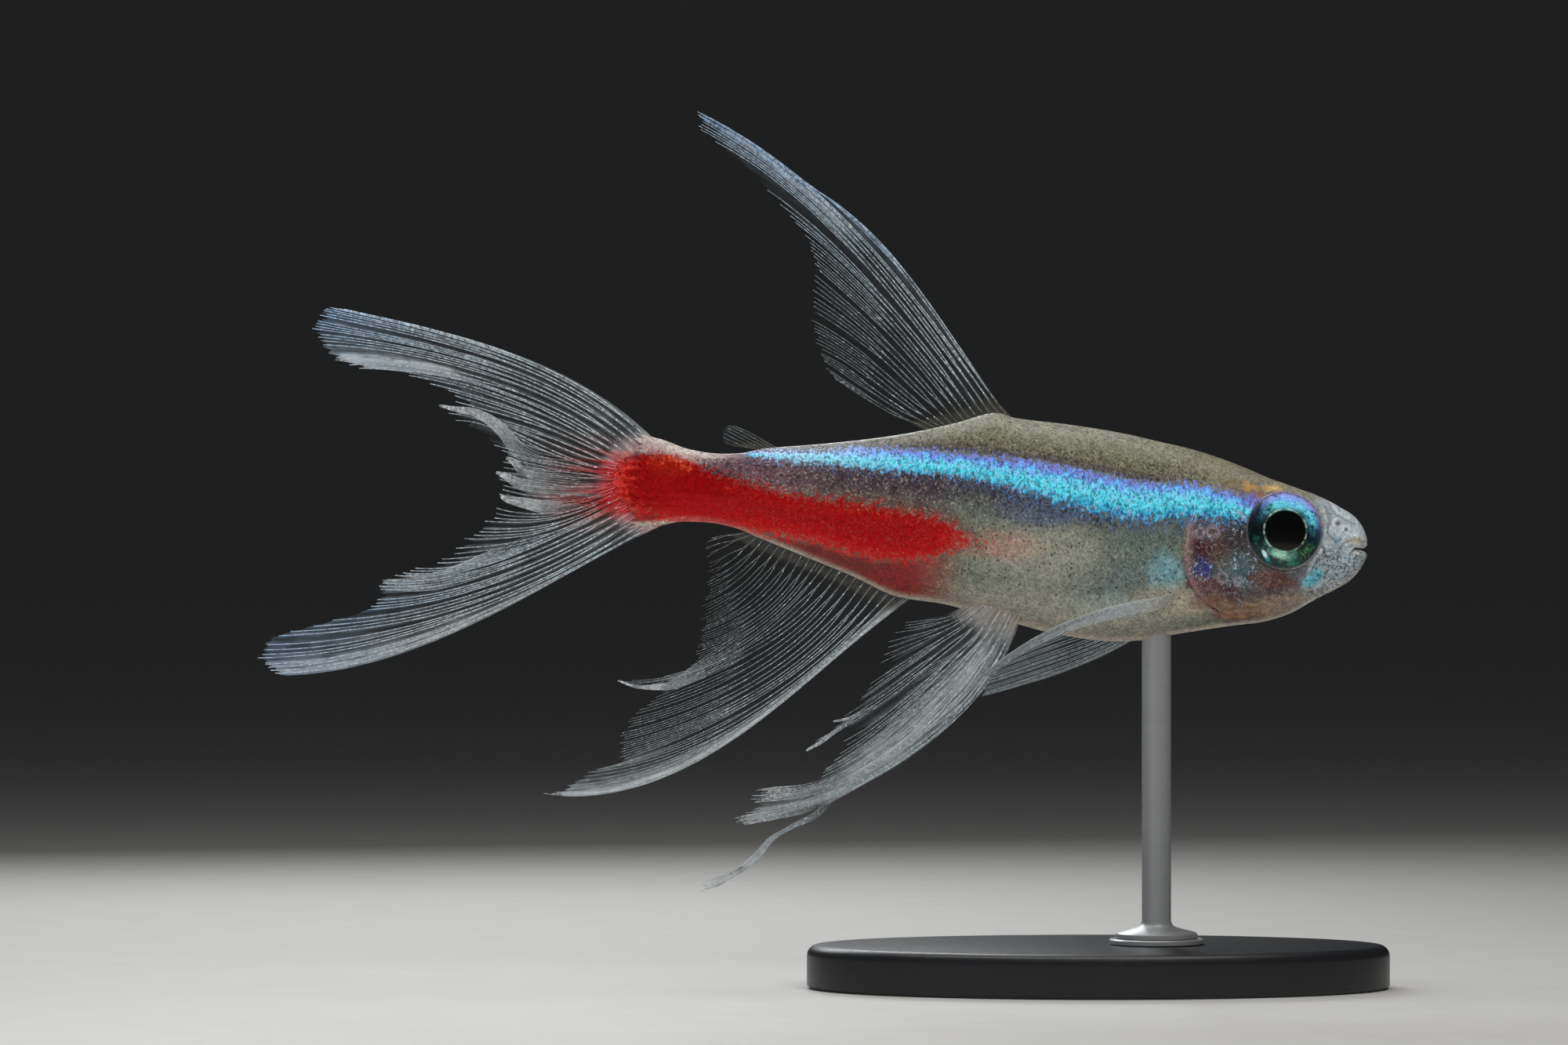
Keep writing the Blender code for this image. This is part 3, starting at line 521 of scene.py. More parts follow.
def skin_tint(s, z):
    """The ground colour of the skin, without the stripe, the red and the fine grain; the top of the back
    has a painted highlight.
    """
    top, bottom = stripe_top(s), stripe_bottom(s)
    high, deep = red_top(s), red_bottom(s)
    root = np.sqrt(np.maximum(s, 0.0))
    back, belly = SECTION_CURVES[0](root), SECTION_CURVES[1](root)
    ragged = 0.5 * (mottle(s * 1.9, z * 1.9) - 0.5) + 0.3 * (mottle(s * 5.3, z * 5.3, 9) - 0.5)
    under = rise(bottom - 0.9 - 1.0 * rise(12.0, 15.0, s), bottom - 0.2, z + ragged)
    under = under * fall(bottom, bottom + 0.1, z)
    brown = hump(z, high + 0.15, 0.42) * rise(14.5, 17.0, s) * fall(22, 25, s)
    low = rise(deep + 0.15, deep - 0.15, z + 0.5 * ragged)
    within = np.minimum(high - z, z - deep)
    border = rise(-0.12, 0.22, within + 0.5 * ragged) * rise(16.4, 17.4, s + ragged)
    zone = rise(0.20, 0.60, within) * rise(16.6, 17.6, s)
    over = rise(top - 0.05, top + 0.12, z)
    stem = rise(26.5, 28.5, s) * rise(high - 0.1, high + 0.2, z)
    sheath = rise(29.2, 30.2, s) * fall(0.85, 1.35, np.abs(z - 0.05))
    keel = rise(belly + 0.30 + 0.4 * np.abs(ragged), belly + 0.06, z) * rise(4.0, 6.0, s)
    keel = keel * fall(28.5, 30, s) * (1 - 0.9 * hump(s, 26.3, 1.8)) * (1 - 0.8 * hump(s, 21.6, 3.2))
    rim = np.maximum(rise(back - 0.50, back - 0.15, z), rise(belly + 0.35, belly + 0.1, z))
    tint = painted(plain_tint(s, 110, 118, 104), (
        ((152, 152, 138), blot(s, z, (13.2, -1.4), (2.4, 1.3), 0.7)),
        ((94, 111, 103), blot(s, z, (9.0, -0.6), (1.6, 1.2), 0.7)),
        ((98, 114, 114), blot(s, z, (9.8, -2.3), (1.6, 0.9), 0.7) * 0.8),
        ((112, 164, 172), blot(s, z, (8.2, -1.75), (0.70, 0.75), 0.6, 0.8) * 0.9),
        ((124, 162, 164), blot(s, z, (10.3, -3.3), (1.7, 0.45), 0.6, 0.8) * 0.8),
        ((186, 176, 158), blot(s, z, (7.9, -2.9), (1.5, 0.60), 0.6) * 0.9),
        ((178, 172, 156), rise(-2.4, -3.6, z) * rise(6, 9, s) * 0.7),
        ((180, 132, 116), blot(s, z, (15.2, -1.1), (1.6, 0.5), 0.7, 1.0) * 0.7),
        ((72, 71, 84), under * (0.40 + 0.60 * rise(9.5, 13.0, s))),
        ((76, 56, 68), under * rise(16.0, 19.0, s)),
        ((84, 98, 124), blot(s, z, (13.3, 0.45), (1.6, 0.7), 0.7, 0.9) * 0.8),
        ((98, 70, 66), brown * 0.75),
        ((112, 76, 88), rise(21.5, 24.5, s) * rise(high - 0.2, high + 0.2, z) * 0.9),
        ((146, 46, 42), rise(16.0, 18.5, s) * low * 0.90),
        ((134, 18, 16), rise(16.8, 19.4, s + 1.6 * ragged) * low
         * (0.74 + 0.26 * mottle(s * 2.6, z * 3.4, 19))),
        ((88, 44, 36), low * hump(z, deep - 0.25, 0.25) * hump(s, 21.3, 2.0) * 0.6),
        ((118, 40, 38), border * 0.85),
        ((176, 0, 14), zone),
        ((240, 60, 44), zone * hump(z, high - 0.32, 0.30)
         * rise(0.35, 0.7, mottle(s * 1.1, z * 5.0, 12))),
        ((255, 50, 50), zone * rise(25.5, 28.5, s) * hump(z, 0.40, 0.9) * 0.9),
        ((250, 120, 76), zone * hump(z, deep + 0.06, 0.14) * rise(22.0, 25.0, s)),
        ((255, 104, 60), blot(s, z, (28.9, 1.05), (0.9, 0.42), 0.6, 0.8) * 0.85),
        ((110, 109, 87), over),
        ((84, 72, 66), over * hump(z, top + 0.10, 0.34) * rise(5, 8, s) * 0.85),
        ((140, 140, 142), over * rise(20.5, 23.5, s) * 0.85),
        # Painted highlight: the top edge of the back is made lighter, where the light falls on it.
        ((156, 154, 140), over * rise(back - 0.75, back - 0.05, z) * 0.75),
        ((196, 168, 166), stem * 0.85),
        ((202, 56, 48), sheath * (0.55 + 0.45 * mottle(z * 7.0, s * 0.7, 6))),
        ((198, 174, 148), keel * 0.9),
        ((208, 192, 184), rise(25.5, 28.0, s) * rim),
    ))
    return head_tint(tint, s, z, belly)


def shaken(value, s, z, *shifts):
    """A coordinate carried a little out of place by noise of two sizes."""
    for reach, waves, shift in zip((0.24, 0.14), (3.1, 8.3), shifts):
        value = value + reach * (mottle(s * waves, z * waves, shift) - 0.5)
    return value


def head_tint(tint, s, z, belly):
    """The ground colours of the head laid over the body's, with painted shade and highlights along the
    snout's folds and nostrils, and painted shade in the mouth slit.
    """
    head = fall(gill_edge(z) - 0.05, gill_edge(z) + 0.02, s)
    crown = rise(1.35, 1.8, z) * fall(7.0, 9.0, s)
    snout = fall(1.2, 3.2, s + 0.3 * (mottle(s * 5, z * 5, 4) - 0.5))
    layers = [((79, 69, 69), head * (1 - crown)),
              ((122, 118, 98), crown),
              ((190, 205, 215), snout),
              ((166, 184, 194), snout * rise(-0.1, -0.5, z) * 0.9)]
    grain = 0.70 + 0.60 * mottle(s * 12.0, z * 12.0, 16)
    near_s, near_z = shaken(s, s, z, 14, 15), shaken(z, s, z, 17, 18)
    for middle, reach, tilt, levels, share in HEAD_PATCHES:
        cover = blot(near_s, near_z, middle, reach, 0.45, 1.1, tilt) * share * grain
        layers.append((levels, np.minimum(cover, 1.0)))
    for place_s, place_z, radius in GILL_RINGS:
        ring = hump(np.hypot(s - place_s, z - place_z), radius, 0.045)
        layers.append(((176, 158, 170), ring * 0.65))
    # Painted shade along the groove side of each snout fold and a painted highlight along its ridge side.
    for line in SNOUT_FOLDS:
        layers.append(((98, 106, 114), fold(line, s, z, ((0.5, -0.06, 0.06),))))
        layers.append(((226, 226, 222), fold(line, s, z, ((0.5, 0.06, 0.06),))))
    free = gill_span(z)
    away = nearest_on(MOUTH, s, z)[0]
    layers += [((158, 118, 124), hump(s, gill_edge(z) - 0.10, 0.16) * free * 0.50),
               ((200, 172, 166), hump(s, gill_edge(z) - 0.02, 0.05) * free * rise(-1.6, -0.2, z) * 0.45),
               ((214, 210, 202), fall(0.45, 0.85, s) * hump(away, 0.12, 0.08) * 0.8),
               # Painted shade: a dark line along the mouth slit.
               ((58, 52, 50), fall(0.40, 0.62, s) * hump(away, 0, 0.045))]
    # Painted shade in each nostril's pit and a painted highlight on the raised ring round it.
    for place_s, place_z, radius in NOSTRILS:
        away = np.hypot(s - place_s, z - place_z)
        layers.append(((98, 104, 112), hump(away, 0, radius * 0.9)))
        layers.append(((226, 230, 232), hump(away, radius * 1.9, radius * 0.6) * 0.5))
    jaw = hump(z, belly + 0.05, 0.13) * rise(0.1, 0.6, s)
    layers += [((196, 184, 168), jaw * 0.8), ((214, 214, 212), jaw * fall(2.0, 3.2, s) * 0.8)]
    return painted(tint, layers)


def skin_marks(s, z):
    """What the skin's shader needs at each point, as three groups of three numbers.

    The first holds the place across the stripe, the distance inside the stripe and its strength,
    the second the density of dark specks, of glints and of pale threads, and the third the
    distance inside the red, the net of fine lines and the density of round dots."""
    top, bottom, deep = stripe_top(s), stripe_bottom(s), red_bottom(s)
    head = fall(gill_edge(z) - 0.1, gill_edge(z), s)
    snout = fall(1.6, 2.9, s)
    above = rise(top - 0.1, top + 0.1, z)
    below = fall(bottom - 0.05, bottom + 0.05, z)
    dense = rise(bottom - 1.1 - 1.2 * rise(11.5, 15, s), bottom - 0.1, z)

    across = (z - bottom) / np.maximum(top - bottom, 0.1)
    across = across + 0.10 * rise(11.0, 14.0, s) + 0.30 * rise(5.6, 4.6, s)
    within = np.minimum((top - z) * 1.25, (z - bottom) * (0.60 + 0.3 * rise(15, 18, s)))
    strength = rise(4.0, 5.3, s) * fall(24.6, 26.2, s) * (1 + rise(18.0, 24.0, s))

    inside = np.minimum(red_top(s) - z, z - deep + 0.25 * rise(24.5, 27.5, s))
    inside = np.minimum(inside, (s - 16.2) * 0.30)
    ahead = 30.9 - s - 0.5 * (z - 0.05) ** 2 + (mottle(z * 7.0, s * 0.7, 6) - 0.5)
    inside = np.minimum(inside, ahead * 0.7)

    specks = above * (0.55 + 0.35 * hump(z, top + 0.2, 0.5))
    specks = np.maximum(specks, below * (0.12 + 0.88 * dense * (0.35 + 0.65 * rise(8, 12, s))))
    specks = np.maximum(specks, 0.45 * hump(z, deep - 0.2, 0.25) * hump(s, 21.3, 2.2))
    specks = specks * (1 - 0.8 * rise(27.0, 29.0, s))
    specks = np.where(head > 0.5, 0.30 + snout * (0.10 + 0.52 * rise(-0.05, -0.35, z)), specks)
    specks = specks * (1 - 0.9 * head * rise(-2.2, -2.8, z))

    glints = np.maximum.reduce([
        blot(s, z, (5.42, 0.60), (0.36, 0.55), 0.5), 0.8 * blot(s, z, (5.1, -1.4), (0.8, 1.0), 0.6),
        0.9 * patch(s, z, (6.72, -1.5), (0.5, 0.5)), 0.4 * blot(s, z, (6.2, -0.1), (0.9, 0.9), 0.6),
        0.5 * blot(s, z, (1.95, -1.4), (0.5, 0.25), 0.4), 0.5 * patch(s, z, (8.2, -1.7), (0.6, 0.8))])

    threads = 0.55 * above + 0.55 * below * fall(25.5, 27.5, s) * (1 - 0.40 * dense)
    threads = threads + 0.35 * dense * below * rise(13.0, 17.0, s) * fall(24.0, 26.0, s)
    threads = threads * (1 - 0.9 * rise(16.5, 18.5, s) * rise(deep + 0.2, deep - 0.1, z))
    cheek = patch(s, z, (5.5, 0.05), (0.6, 0.9))
    threads = np.where(head > 0.5, 0.35 + 0.37 * snout - 0.25 * cheek, threads)

    net = head * (1 - snout) * rise(-2.8, -2.2, z) * fall(1.3, 1.7, z) * 0.6
    net = np.maximum(net, rise(22.5, 24.5, s) * rise(-0.1, -0.4, inside) * 0.8)
    dots = below * (1 - head) * rise(-3.4, -2.2, z) * fall(15.5, 17.0, s) * 0.65 - snout * head
    groups = (across, within, strength), (specks, glints, threads), (inside, net, dots)
    return [np.stack(group, -1) for group in groups]


def new_object(name, points, faces, finish, sharp=None):
    """An object from points in metres, riding on the root, smooth but for edges past an angle."""
    mesh = bpy.data.meshes.new(name)
    mesh.from_pydata(np.asarray(points).tolist(), [], faces)
    shell = bmesh.new()
    shell.from_mesh(mesh)
    bmesh.ops.recalc_face_normals(shell, faces=shell.faces)
    shell.to_mesh(mesh)
    shell.free()
    mesh.materials.append(finish)
    mesh.shade_smooth()
    if sharp:
        mesh.set_sharp_from_angle(angle=math.radians(sharp))
    thing = bpy.data.objects.new(name, mesh)
    bpy.context.scene.collection.objects.link(thing)
    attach(thing, "root")
    return thing


def fish_object(name, points, faces, finish, sharp=None):
    """An object in the fish's frame from points of (s, y, z) in millimetres."""
    place = np.asarray(points, float).reshape(-1, 3) * (-MM, MM, MM)
    thing = new_object(name, place, faces, finish, sharp)
    thing.matrix_world = FISH_PLACE
    return thing


def give_vectors(thing, name, values):
    """A vector for each vertex of the object, under a name."""
    layer = thing.data.attributes.new(name, "FLOAT_VECTOR", "POINT")
    layer.data.foreach_set("vector", np.asarray(values, np.float32).reshape(-1))


def give_colours(thing, name, colours):
    """A linear colour for each vertex of the object, under a name."""
    flat = np.asarray(colours, np.float32).reshape(-1, 3)
    layer = thing.data.color_attributes.new(name, "FLOAT_COLOR", "POINT")
    layer.data.foreach_set("color", np.column_stack([flat, np.ones(len(flat))]).reshape(-1))


def give_map(thing, name, places):
    """A map with one place for each vertex, with the faces over its seam kept whole."""
    corners = np.empty(len(thing.data.loops), np.int32)
    thing.data.loops.foreach_get("vertex_index", corners)
    starts = np.empty(len(thing.data.polygons), np.int32)
    thing.data.polygons.foreach_get("loop_start", starts)
    place = np.array(places, np.float32).reshape(-1, 2)[corners]
    face = np.searchsorted(starts, np.arange(len(corners)), side="right") - 1
    highest = np.maximum.reduceat(place[:, 1], starts)
    over = (highest[face] > 0.9) & (place[:, 1] < 0.1)
    place[over, 1] = 0.98
    layer = thing.data.uv_layers.new(name=name)
    layer.uv.foreach_set("vector", place.reshape(-1))


def grid_faces(rows, columns, closed=False):
    """Quads between the points of a grid, joined round when closed."""
    index = np.arange(rows * columns).reshape(rows, columns)
    return quads_of(np.column_stack([index, index[:, :1]]) if closed else index)


def capped_faces(rows, columns):
    """Quads of a grid joined round, and fans from the two points that follow it to its ends."""
    count = rows * columns
    faces = grid_faces(rows, columns, closed=True).tolist()
    for i in range(columns):
        j = (i + 1) % columns
        faces.append((count, j, i))
        faces.append((count + 1, count - columns + i, count - columns + j))
    return faces


def border_faces(rows, columns):
    """Quads between the border of a grid and that of the same grid behind it."""
    count = rows * columns
    index = np.arange(count).reshape(rows, columns)
    rim = np.concatenate([index[:-1, 0], index[-1, :-1], index[:0:-1, -1], index[0, :0:-1]])
    following = np.roll(rim, -1)
    return np.stack([rim, rim + count, following + count, following], -1)


def quads_of(index):
    """Quads between neighbours of a table of point numbers."""
    corners = (index[:-1, :-1], index[:-1, 1:], index[1:, 1:], index[1:, :-1])
    return np.stack(corners, -1).reshape(-1, 4)


def ring_numbers(rows, columns, first=0):
    """The point numbers of a grid closed both ways."""
    index = first + np.arange(rows * columns).reshape(rows, columns)
    index = np.concatenate([index, index[:1]])
    return np.column_stack([index, index[:, :1]])


def unwrapped(s, turn):
    """A place on the unwrap of the body's shape: length one way, turn the other."""
    around = (turn + 90.0) % 360.0
    return np.stack([MAP_START + MAP_SPAN * s / MAP_LENGTH, MAP_START + MAP_SPAN * around / 360.0], -1)


class Shader:
    """A Principled material and short ways to add nodes to it."""

    def __init__(self, name):
        self.material = bpy.data.materials.new(name)
        self.material.use_nodes = True
        self.tree = self.material.node_tree
        self.principled = self.tree.nodes["Principled BSDF"]

    def fill(self, socket, value):
        """Links the socket to another, or gives it a value."""
        if isinstance(value, bpy.types.NodeSocket):
            self.tree.links.new(value, socket)
        elif isinstance(value, (tuple, list, np.ndarray)) and socket.type == "RGBA":
            socket.default_value = (*[float(v) for v in value][:3], 1.0)
        else:
            socket.default_value = value

    def set(self, **values):
        """Sets or links the Principled shader's sockets, by names with _ for a space."""
        for name, value in values.items():
            self.fill(self.principled.inputs[name.replace("_", " ")], value)

    def node(self, kind, inputs, output=0, **settings):
        """A node with its settings, its inputs by name or number, and the output wanted."""
        made = self.tree.nodes.new("ShaderNode" + kind)
        for key, value in settings.items():
            setattr(made, key, value)
        for key, value in inputs.items():
            self.fill(made.inputs[key], value)
        return made.outputs[output]

    def attribute(self, name, output="Vector"):
        return self.node("Attribute", {}, output, attribute_name=name)

    def parts(self, vector):
        made = self.tree.nodes.new("ShaderNodeSeparateXYZ")
        self.fill(made.inputs[0], vector)
        return made.outputs

    def place(self, stretch=(1.0, 1.0, 1.0)):
        """The place on the object in millimetres, times a stretch."""
        where = self.node("TexCoord", {}, "Object")
        scale = tuple(1000.0 * value for value in stretch)
        return self.node("VectorMath", {0: where, 1: scale}, operation="MULTIPLY")

    def math(self, operation, first, second=0.0, third=0.0):
        return self.node("Math", {0: first, 1: second, 2: third}, operation=operation)

    def ramp(self, value, low, high, to_low=0.0, to_high=1.0, soft=True):
        """The value carried from one range into another, clamped."""
        return self.node("MapRange", {"Value": value, "From Min": low, "From Max": high,
                                      "To Min": to_low, "To Max": to_high},
                         interpolation_type="SMOOTHSTEP" if soft else "LINEAR")

    def times(self, *values):
        """The product of the values."""
        product = values[0]
        for value in values[1:]:
            product = self.math("MULTIPLY", product, value)
        return product

    def mix(self, share, under, over, blend="MIX"):
        """One colour over another with a share, or blended with it."""
        made = self.tree.nodes.new("ShaderNodeMix")
        made.data_type = "RGBA"
        made.blend_type = blend
        made.clamp_result = False
        self.fill(made.inputs[0], share)
        self.fill(made.inputs[6], under)
        self.fill(made.inputs[7], over)
        return made.outputs[2]

    def noise(self, where, scale, detail=2.0, distortion=0.0, roughness=0.5):
        return self.node("TexNoise", {"Vector": where, "Scale": scale, "Detail": detail,
                                      "Distortion": distortion, "Roughness": roughness})

    def curls(self, where, scale, detail, distortion, wide):
        """1 along curled lines, fading to 0 to both sides."""
        middle = self.math("SUBTRACT", self.noise(where, scale, detail, distortion), 0.5)
        return self.ramp(self.math("ABSOLUTE", middle), 0.0, wide, 1.0, 0.0)

    def shifted(self, noise, reach, level):
        """A level carried up and down by noise."""
        return self.math("MULTIPLY_ADD", self.math("SUBTRACT", noise, 0.5), reach, level)

    def swung(self, colour, value, low, high, darkest, lightest):
        """The colour made darker and lighter as the value goes from low to high."""
        factor = self.ramp(value, low, high, darkest, lightest, soft=False)
        grey = self.node("CombineXYZ", {0: factor, 1: factor, 2: factor})
        return self.mix(1.0, colour, grey, "MULTIPLY")

    def cells(self, where, scale, output="Distance"):
        return self.node("TexVoronoi", {"Vector": where, "Scale": scale}, output)

    def colours(self, value, stops):
        """A colour ramp through stops of a place and display levels."""
        made = self.tree.nodes.new("ShaderNodeValToRGB")
        self.fill(made.inputs[0], value)
        steps = made.color_ramp.elements
        while len(steps) < len(stops):
            steps.new(0.5)
        for step, (place, levels) in zip(steps, stops):
            step.position = place
            step.color = (*srgb(*levels), 1.0)
        return made.outputs[0]

    def bump(self, height, strength, distance):
        return self.node("Bump", {"Height": height, "Strength": strength, "Distance": distance})


STRIPE_STOPS = ((0.00, (40, 112, 168)), (0.16, (48, 180, 232)), (0.42, (84, 230, 254)),
                (0.66, (104, 214, 255)), (0.84, (106, 166, 248)), (1.00, (120, 128, 210)))
RED_STOPS = ((0.0, (220, 74, 48)), (0.18, (250, 40, 24)), (0.36, (234, 4, 10)),
             (0.60, (220, 0, 10)), (1.0, (202, 0, 14)))


def skin_finish():
    """Skin with grain, dark specks, the neon stripe, the red and fine glints."""
    look = Shader("tetra_skin")
    where = look.place()
    upright = look.place((1.0, 1.0, 0.62))
    across, within, strength = look.parts(look.attribute("bands"))
    specks, glints, threads = look.parts(look.attribute("flecks"))
    inside, net, dots = look.parts(look.attribute("nets"))

    # The ground: light and dark grain, pale salt and threads, dark ink and the net of the gills.
    fine = look.noise(where, 9.5, 3.0, roughness=0.65)
    colour = look.swung(look.attribute("tint", "Color"), look.noise(where, 3.0, 3.0), 0.3, 0.7,
                        0.80, 1.20)
    calm = look.ramp(dots, 0.0, -1.0)
    colour = look.swung(colour, fine, 0.34, 0.66, look.math("MULTIPLY_ADD", calm, 0.22, 0.60),
                        look.math("MULTIPLY_ADD", calm, -0.24, 1.42))
    salt = look.ramp(look.noise(where, 10.5, 2.0, 0.5), 0.57, 0.68)
    colour = look.mix(look.times(salt, threads, 0.75), colour, srgb(196, 192, 162))
    patchy = look.ramp(look.noise(where, 2.3, 1.0), 0.42, 0.60)
    worm = look.curls(where, 6.2, 1.5, 0.8, 0.030)
    colour = look.mix(look.times(worm, patchy, threads, 0.85), colour, srgb(206, 200, 180))
    ink = look.times(look.curls(where, 3.6, 2.0, 1.4, 0.045), look.ramp(threads, 0.38, 0.85, 0.0, 0.48))
    colour = look.mix(ink, colour, srgb(74, 80, 86))
    curl = look.curls(where, 4.4, 1.5, 1.0, 0.028)
    colour = look.mix(look.times(curl, net, 0.45), colour, srgb(186, 170, 180))

    # The red: ragged edges, orange outside and deep inside.
    edge = look.shifted(look.noise(where, 5.0, 4.0, roughness=0.85), 2.6, inside)
    red = look.colours(look.ramp(edge, -0.05, 0.80, soft=False), RED_STOPS)
    spark = look.ramp(look.noise(where, 9.0, 2.0), 0.54, 0.72, 0.0, 0.34)
    red = look.swung(look.mix(spark, red, srgb(255, 52, 40)), fine, 0.34, 0.66, 0.83, 1.16)
    redness = look.ramp(edge, -0.12, 0.22)
    colour = look.mix(look.times(redness, 0.80), colour, red)

    # Dark specks, denser where their number calls for them, and a few round dots.
    rice = look.noise(where, 8.5, 2.0, 0.6, 0.55)
    start = look.math("MULTIPLY_ADD", specks, -0.25, 0.73)
    dark = look.ramp(rice, start, look.math("ADD", start, 0.07))
    dark = look.times(dark, look.ramp(specks, 0.0, 0.15), look.ramp(edge, 0.0, 0.30, 0.72, 0.08))
    colour = look.mix(dark, colour, srgb(44, 38, 38))
    chance = look.parts(look.cells(where, 4.6, "Color"))[0]
    dot = look.times(look.ramp(look.cells(where, 4.6), 0.16, 0.30, 1.0, 0.0),
                     look.math("LESS_THAN", chance, dots), 0.75)
    colour = look.mix(dot, colour, srgb(46, 46, 44))

    # The stripe: upright flecks, violet above and cyan below, thinning out at its lower edge.
    streak = look.noise(upright, 8.0, 3.0, 0.2, 0.65)
    shown = look.math("MINIMUM", strength, 1.0)
    flicker = look.noise(upright, 9.5, 2.0, 0.7, 0.6)
    neon = look.colours(look.shifted(look.noise(upright, 5.0, 2.0), 0.9, across), STRIPE_STOPS)
    neon = look.mix(look.ramp(strength, 1.0, 2.0, 0.0, 0.55, soft=False), neon, srgb(176, 220, 246))
    neon = look.swung(neon, flicker, 0.37, 0.63, 0.50, 2.05)
    spark = look.times(look.ramp(flicker, 0.54, 0.66), look.ramp(across, 0.95, 0.55), 0.92)
    neon = look.mix(spark, neon, srgb(206, 254, 255))
    gaps = look.ramp(look.noise(where, 9.0, 2.0, 0.8), 0.54, 0.66, 1.0, 0.38)
    band = look.times(look.ramp(look.shifted(streak, 1.5, within), -0.10, 0.14), shown, gaps)
    colour = look.mix(band, colour, neon)
    strays = look.times(look.ramp(flicker, 0.58, 0.66), look.ramp(within, -0.55, 0.0), shown, 0.6)
    colour = look.mix(strays, colour, srgb(84, 130, 216))

    glint = look.times(look.ramp(look.noise(where, 6.5, 1.5, 0.8), 0.60, 0.68), glints)
    colour = look.mix(glint, colour, srgb(186, 216, 246))
    rough = look.math("SUBTRACT", look.ramp(fine, 0.3, 0.7, 0.38, 0.56), look.times(band, 0.08))
    shine = look.times(look.math("ADD", band, glint), 0.22)
    height = look.math("MULTIPLY_ADD", streak, band, look.times(fine, 0.6))
    look.set(Base_Color=colour, Roughness=rough, Normal=look.bump(height, 0.35, 0.00004),
             Metallic=look.math("MULTIPLY_ADD", redness, 0.70, shine))
    look.set(Specular_IOR_Level=0.35, Coat_Weight=0.10, Coat_Roughness=0.15,
             Subsurface_Weight=0.06, Subsurface_Radius=(0.6, 0.35, 0.25), Subsurface_Scale=0.0004)
    return look.material


def paint_skin(thing, s, z):
    """The colours and marks of a piece that lies on the body."""
    give_colours(thing, "tint", skin_tint(s, z))
    for name, values in zip(("bands", "flecks", "nets"), skin_marks(s, z)):
        give_vectors(thing, name, values)


def make_skin(finish):
    """One skin from the lips to the sheath of the tail fin, with sunk eye sockets."""
    turns = 360.0 * np.arange(SKIN_AROUND) / SKIN_AROUND - 90.0
    edge = gill_edge(body_points(np.full(SKIN_AROUND, GILL_EDGE - 0.3), turns)[:, 2])
    height = body_points(np.full(SKIN_AROUND, TAIL_ROOT), turns)[:, 2]
    lobe_length, lobe_turns, narrowing = 0.24, 9.0, 0.86
    last = tail_root(height) + TAIL_SHEATH + lobe_length * np.abs(np.sin(height * lobe_turns))
    head_shares = (np.arange(1, HEAD_RINGS + 1) / HEAD_RINGS) ** 1.6
    body_shares = np.arange(1, BODY_RINGS + 1) / BODY_RINGS
    s = [edge * share for share in head_shares]
    s += [edge + step for step in GILL_STEPS]
    start = edge + GILL_STEPS[-1]
    s += [start + (last - start) * share for share in body_shares]
    s = np.array(s)
    turn = np.broadcast_to(turns, s.shape)
    plain = body_points(s, turn)
    out = relief(s, plain[..., 2])
    for ring, depth in enumerate(GILL_DEPTHS, HEAD_RINGS):
        out[ring] -= depth * gill_span(plain[ring, :, 2])
    points = plain + body_normals(s, turn) * out[..., None]
    points[..., 1] *= 1.0 - narrowing * rise(TAIL_ROOT - 1.6, TAIL_ROOT + TAIL_SHEATH, s)
    points = sink_sockets(points)
    tip = [[points[0, :, 0].mean(), 0.0, points[0, :, 2].mean()]]
    end = points[-1].mean(0, keepdims=True)
    everything = np.concatenate([points.reshape(-1, 3), tip, end])
    thing = fish_object("skin", everything, capped_faces(len(s), SKIN_AROUND), finish)
    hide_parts("head", "lower_jaw", "gill_cover_right", "gill_cover_left", "trunk", "tail_stem")
    all_s = np.concatenate([s.reshape(-1), [0.0, TAIL_ROOT]])
    all_turn = np.concatenate([turn.reshape(-1), [90.0, 90.0]])
    paint_skin(thing, all_s, everything[:, 2])
    give_map(thing, "OFBake", unwrapped(all_s, all_turn))


def sink_sockets(points):
    """Pushes the skin in behind the eyes, to just outside their balls."""
    s, y, z = points[..., 0], points[..., 1], points[..., 2]
    radius, clearance, innermost = EYE_RADIUS - 0.01, 0.05, 0.3
    reach = np.hypot(s - EYE_PLACE[0], z - EYE_PLACE[2])
    share = np.clip(reach / radius, 0.0, 1.0)
    sunk = eye_rim(s, z) - (EYE_DEPTH + clearance) * np.sqrt(1.0 - share ** 2)
    under = (reach < radius) & (np.abs(y) > sunk) & (np.abs(y) > innermost)
    new = points.copy()
    new[..., 1] = np.where(under, np.sign(y) * sunk, y)
    return new


def eye_frame(side):
    """The middle of an eye's rim and its directions: rearward, upward and outward."""
    middle = np.array([EYE_PLACE[0], side * EYE_PLACE[1], EYE_PLACE[2]])
    outward = np.array([-math.tan(math.radians(EYE_AHEAD)), side, math.tan(math.radians(EYE_UP))])
    outward /= np.linalg.norm(outward)
    upward = np.array([0.0, 0.0, 1.0]) - outward * outward[2]
    upward /= np.linalg.norm(upward)
    rearward = np.cross(outward, upward) * side
    return middle, rearward, upward, outward


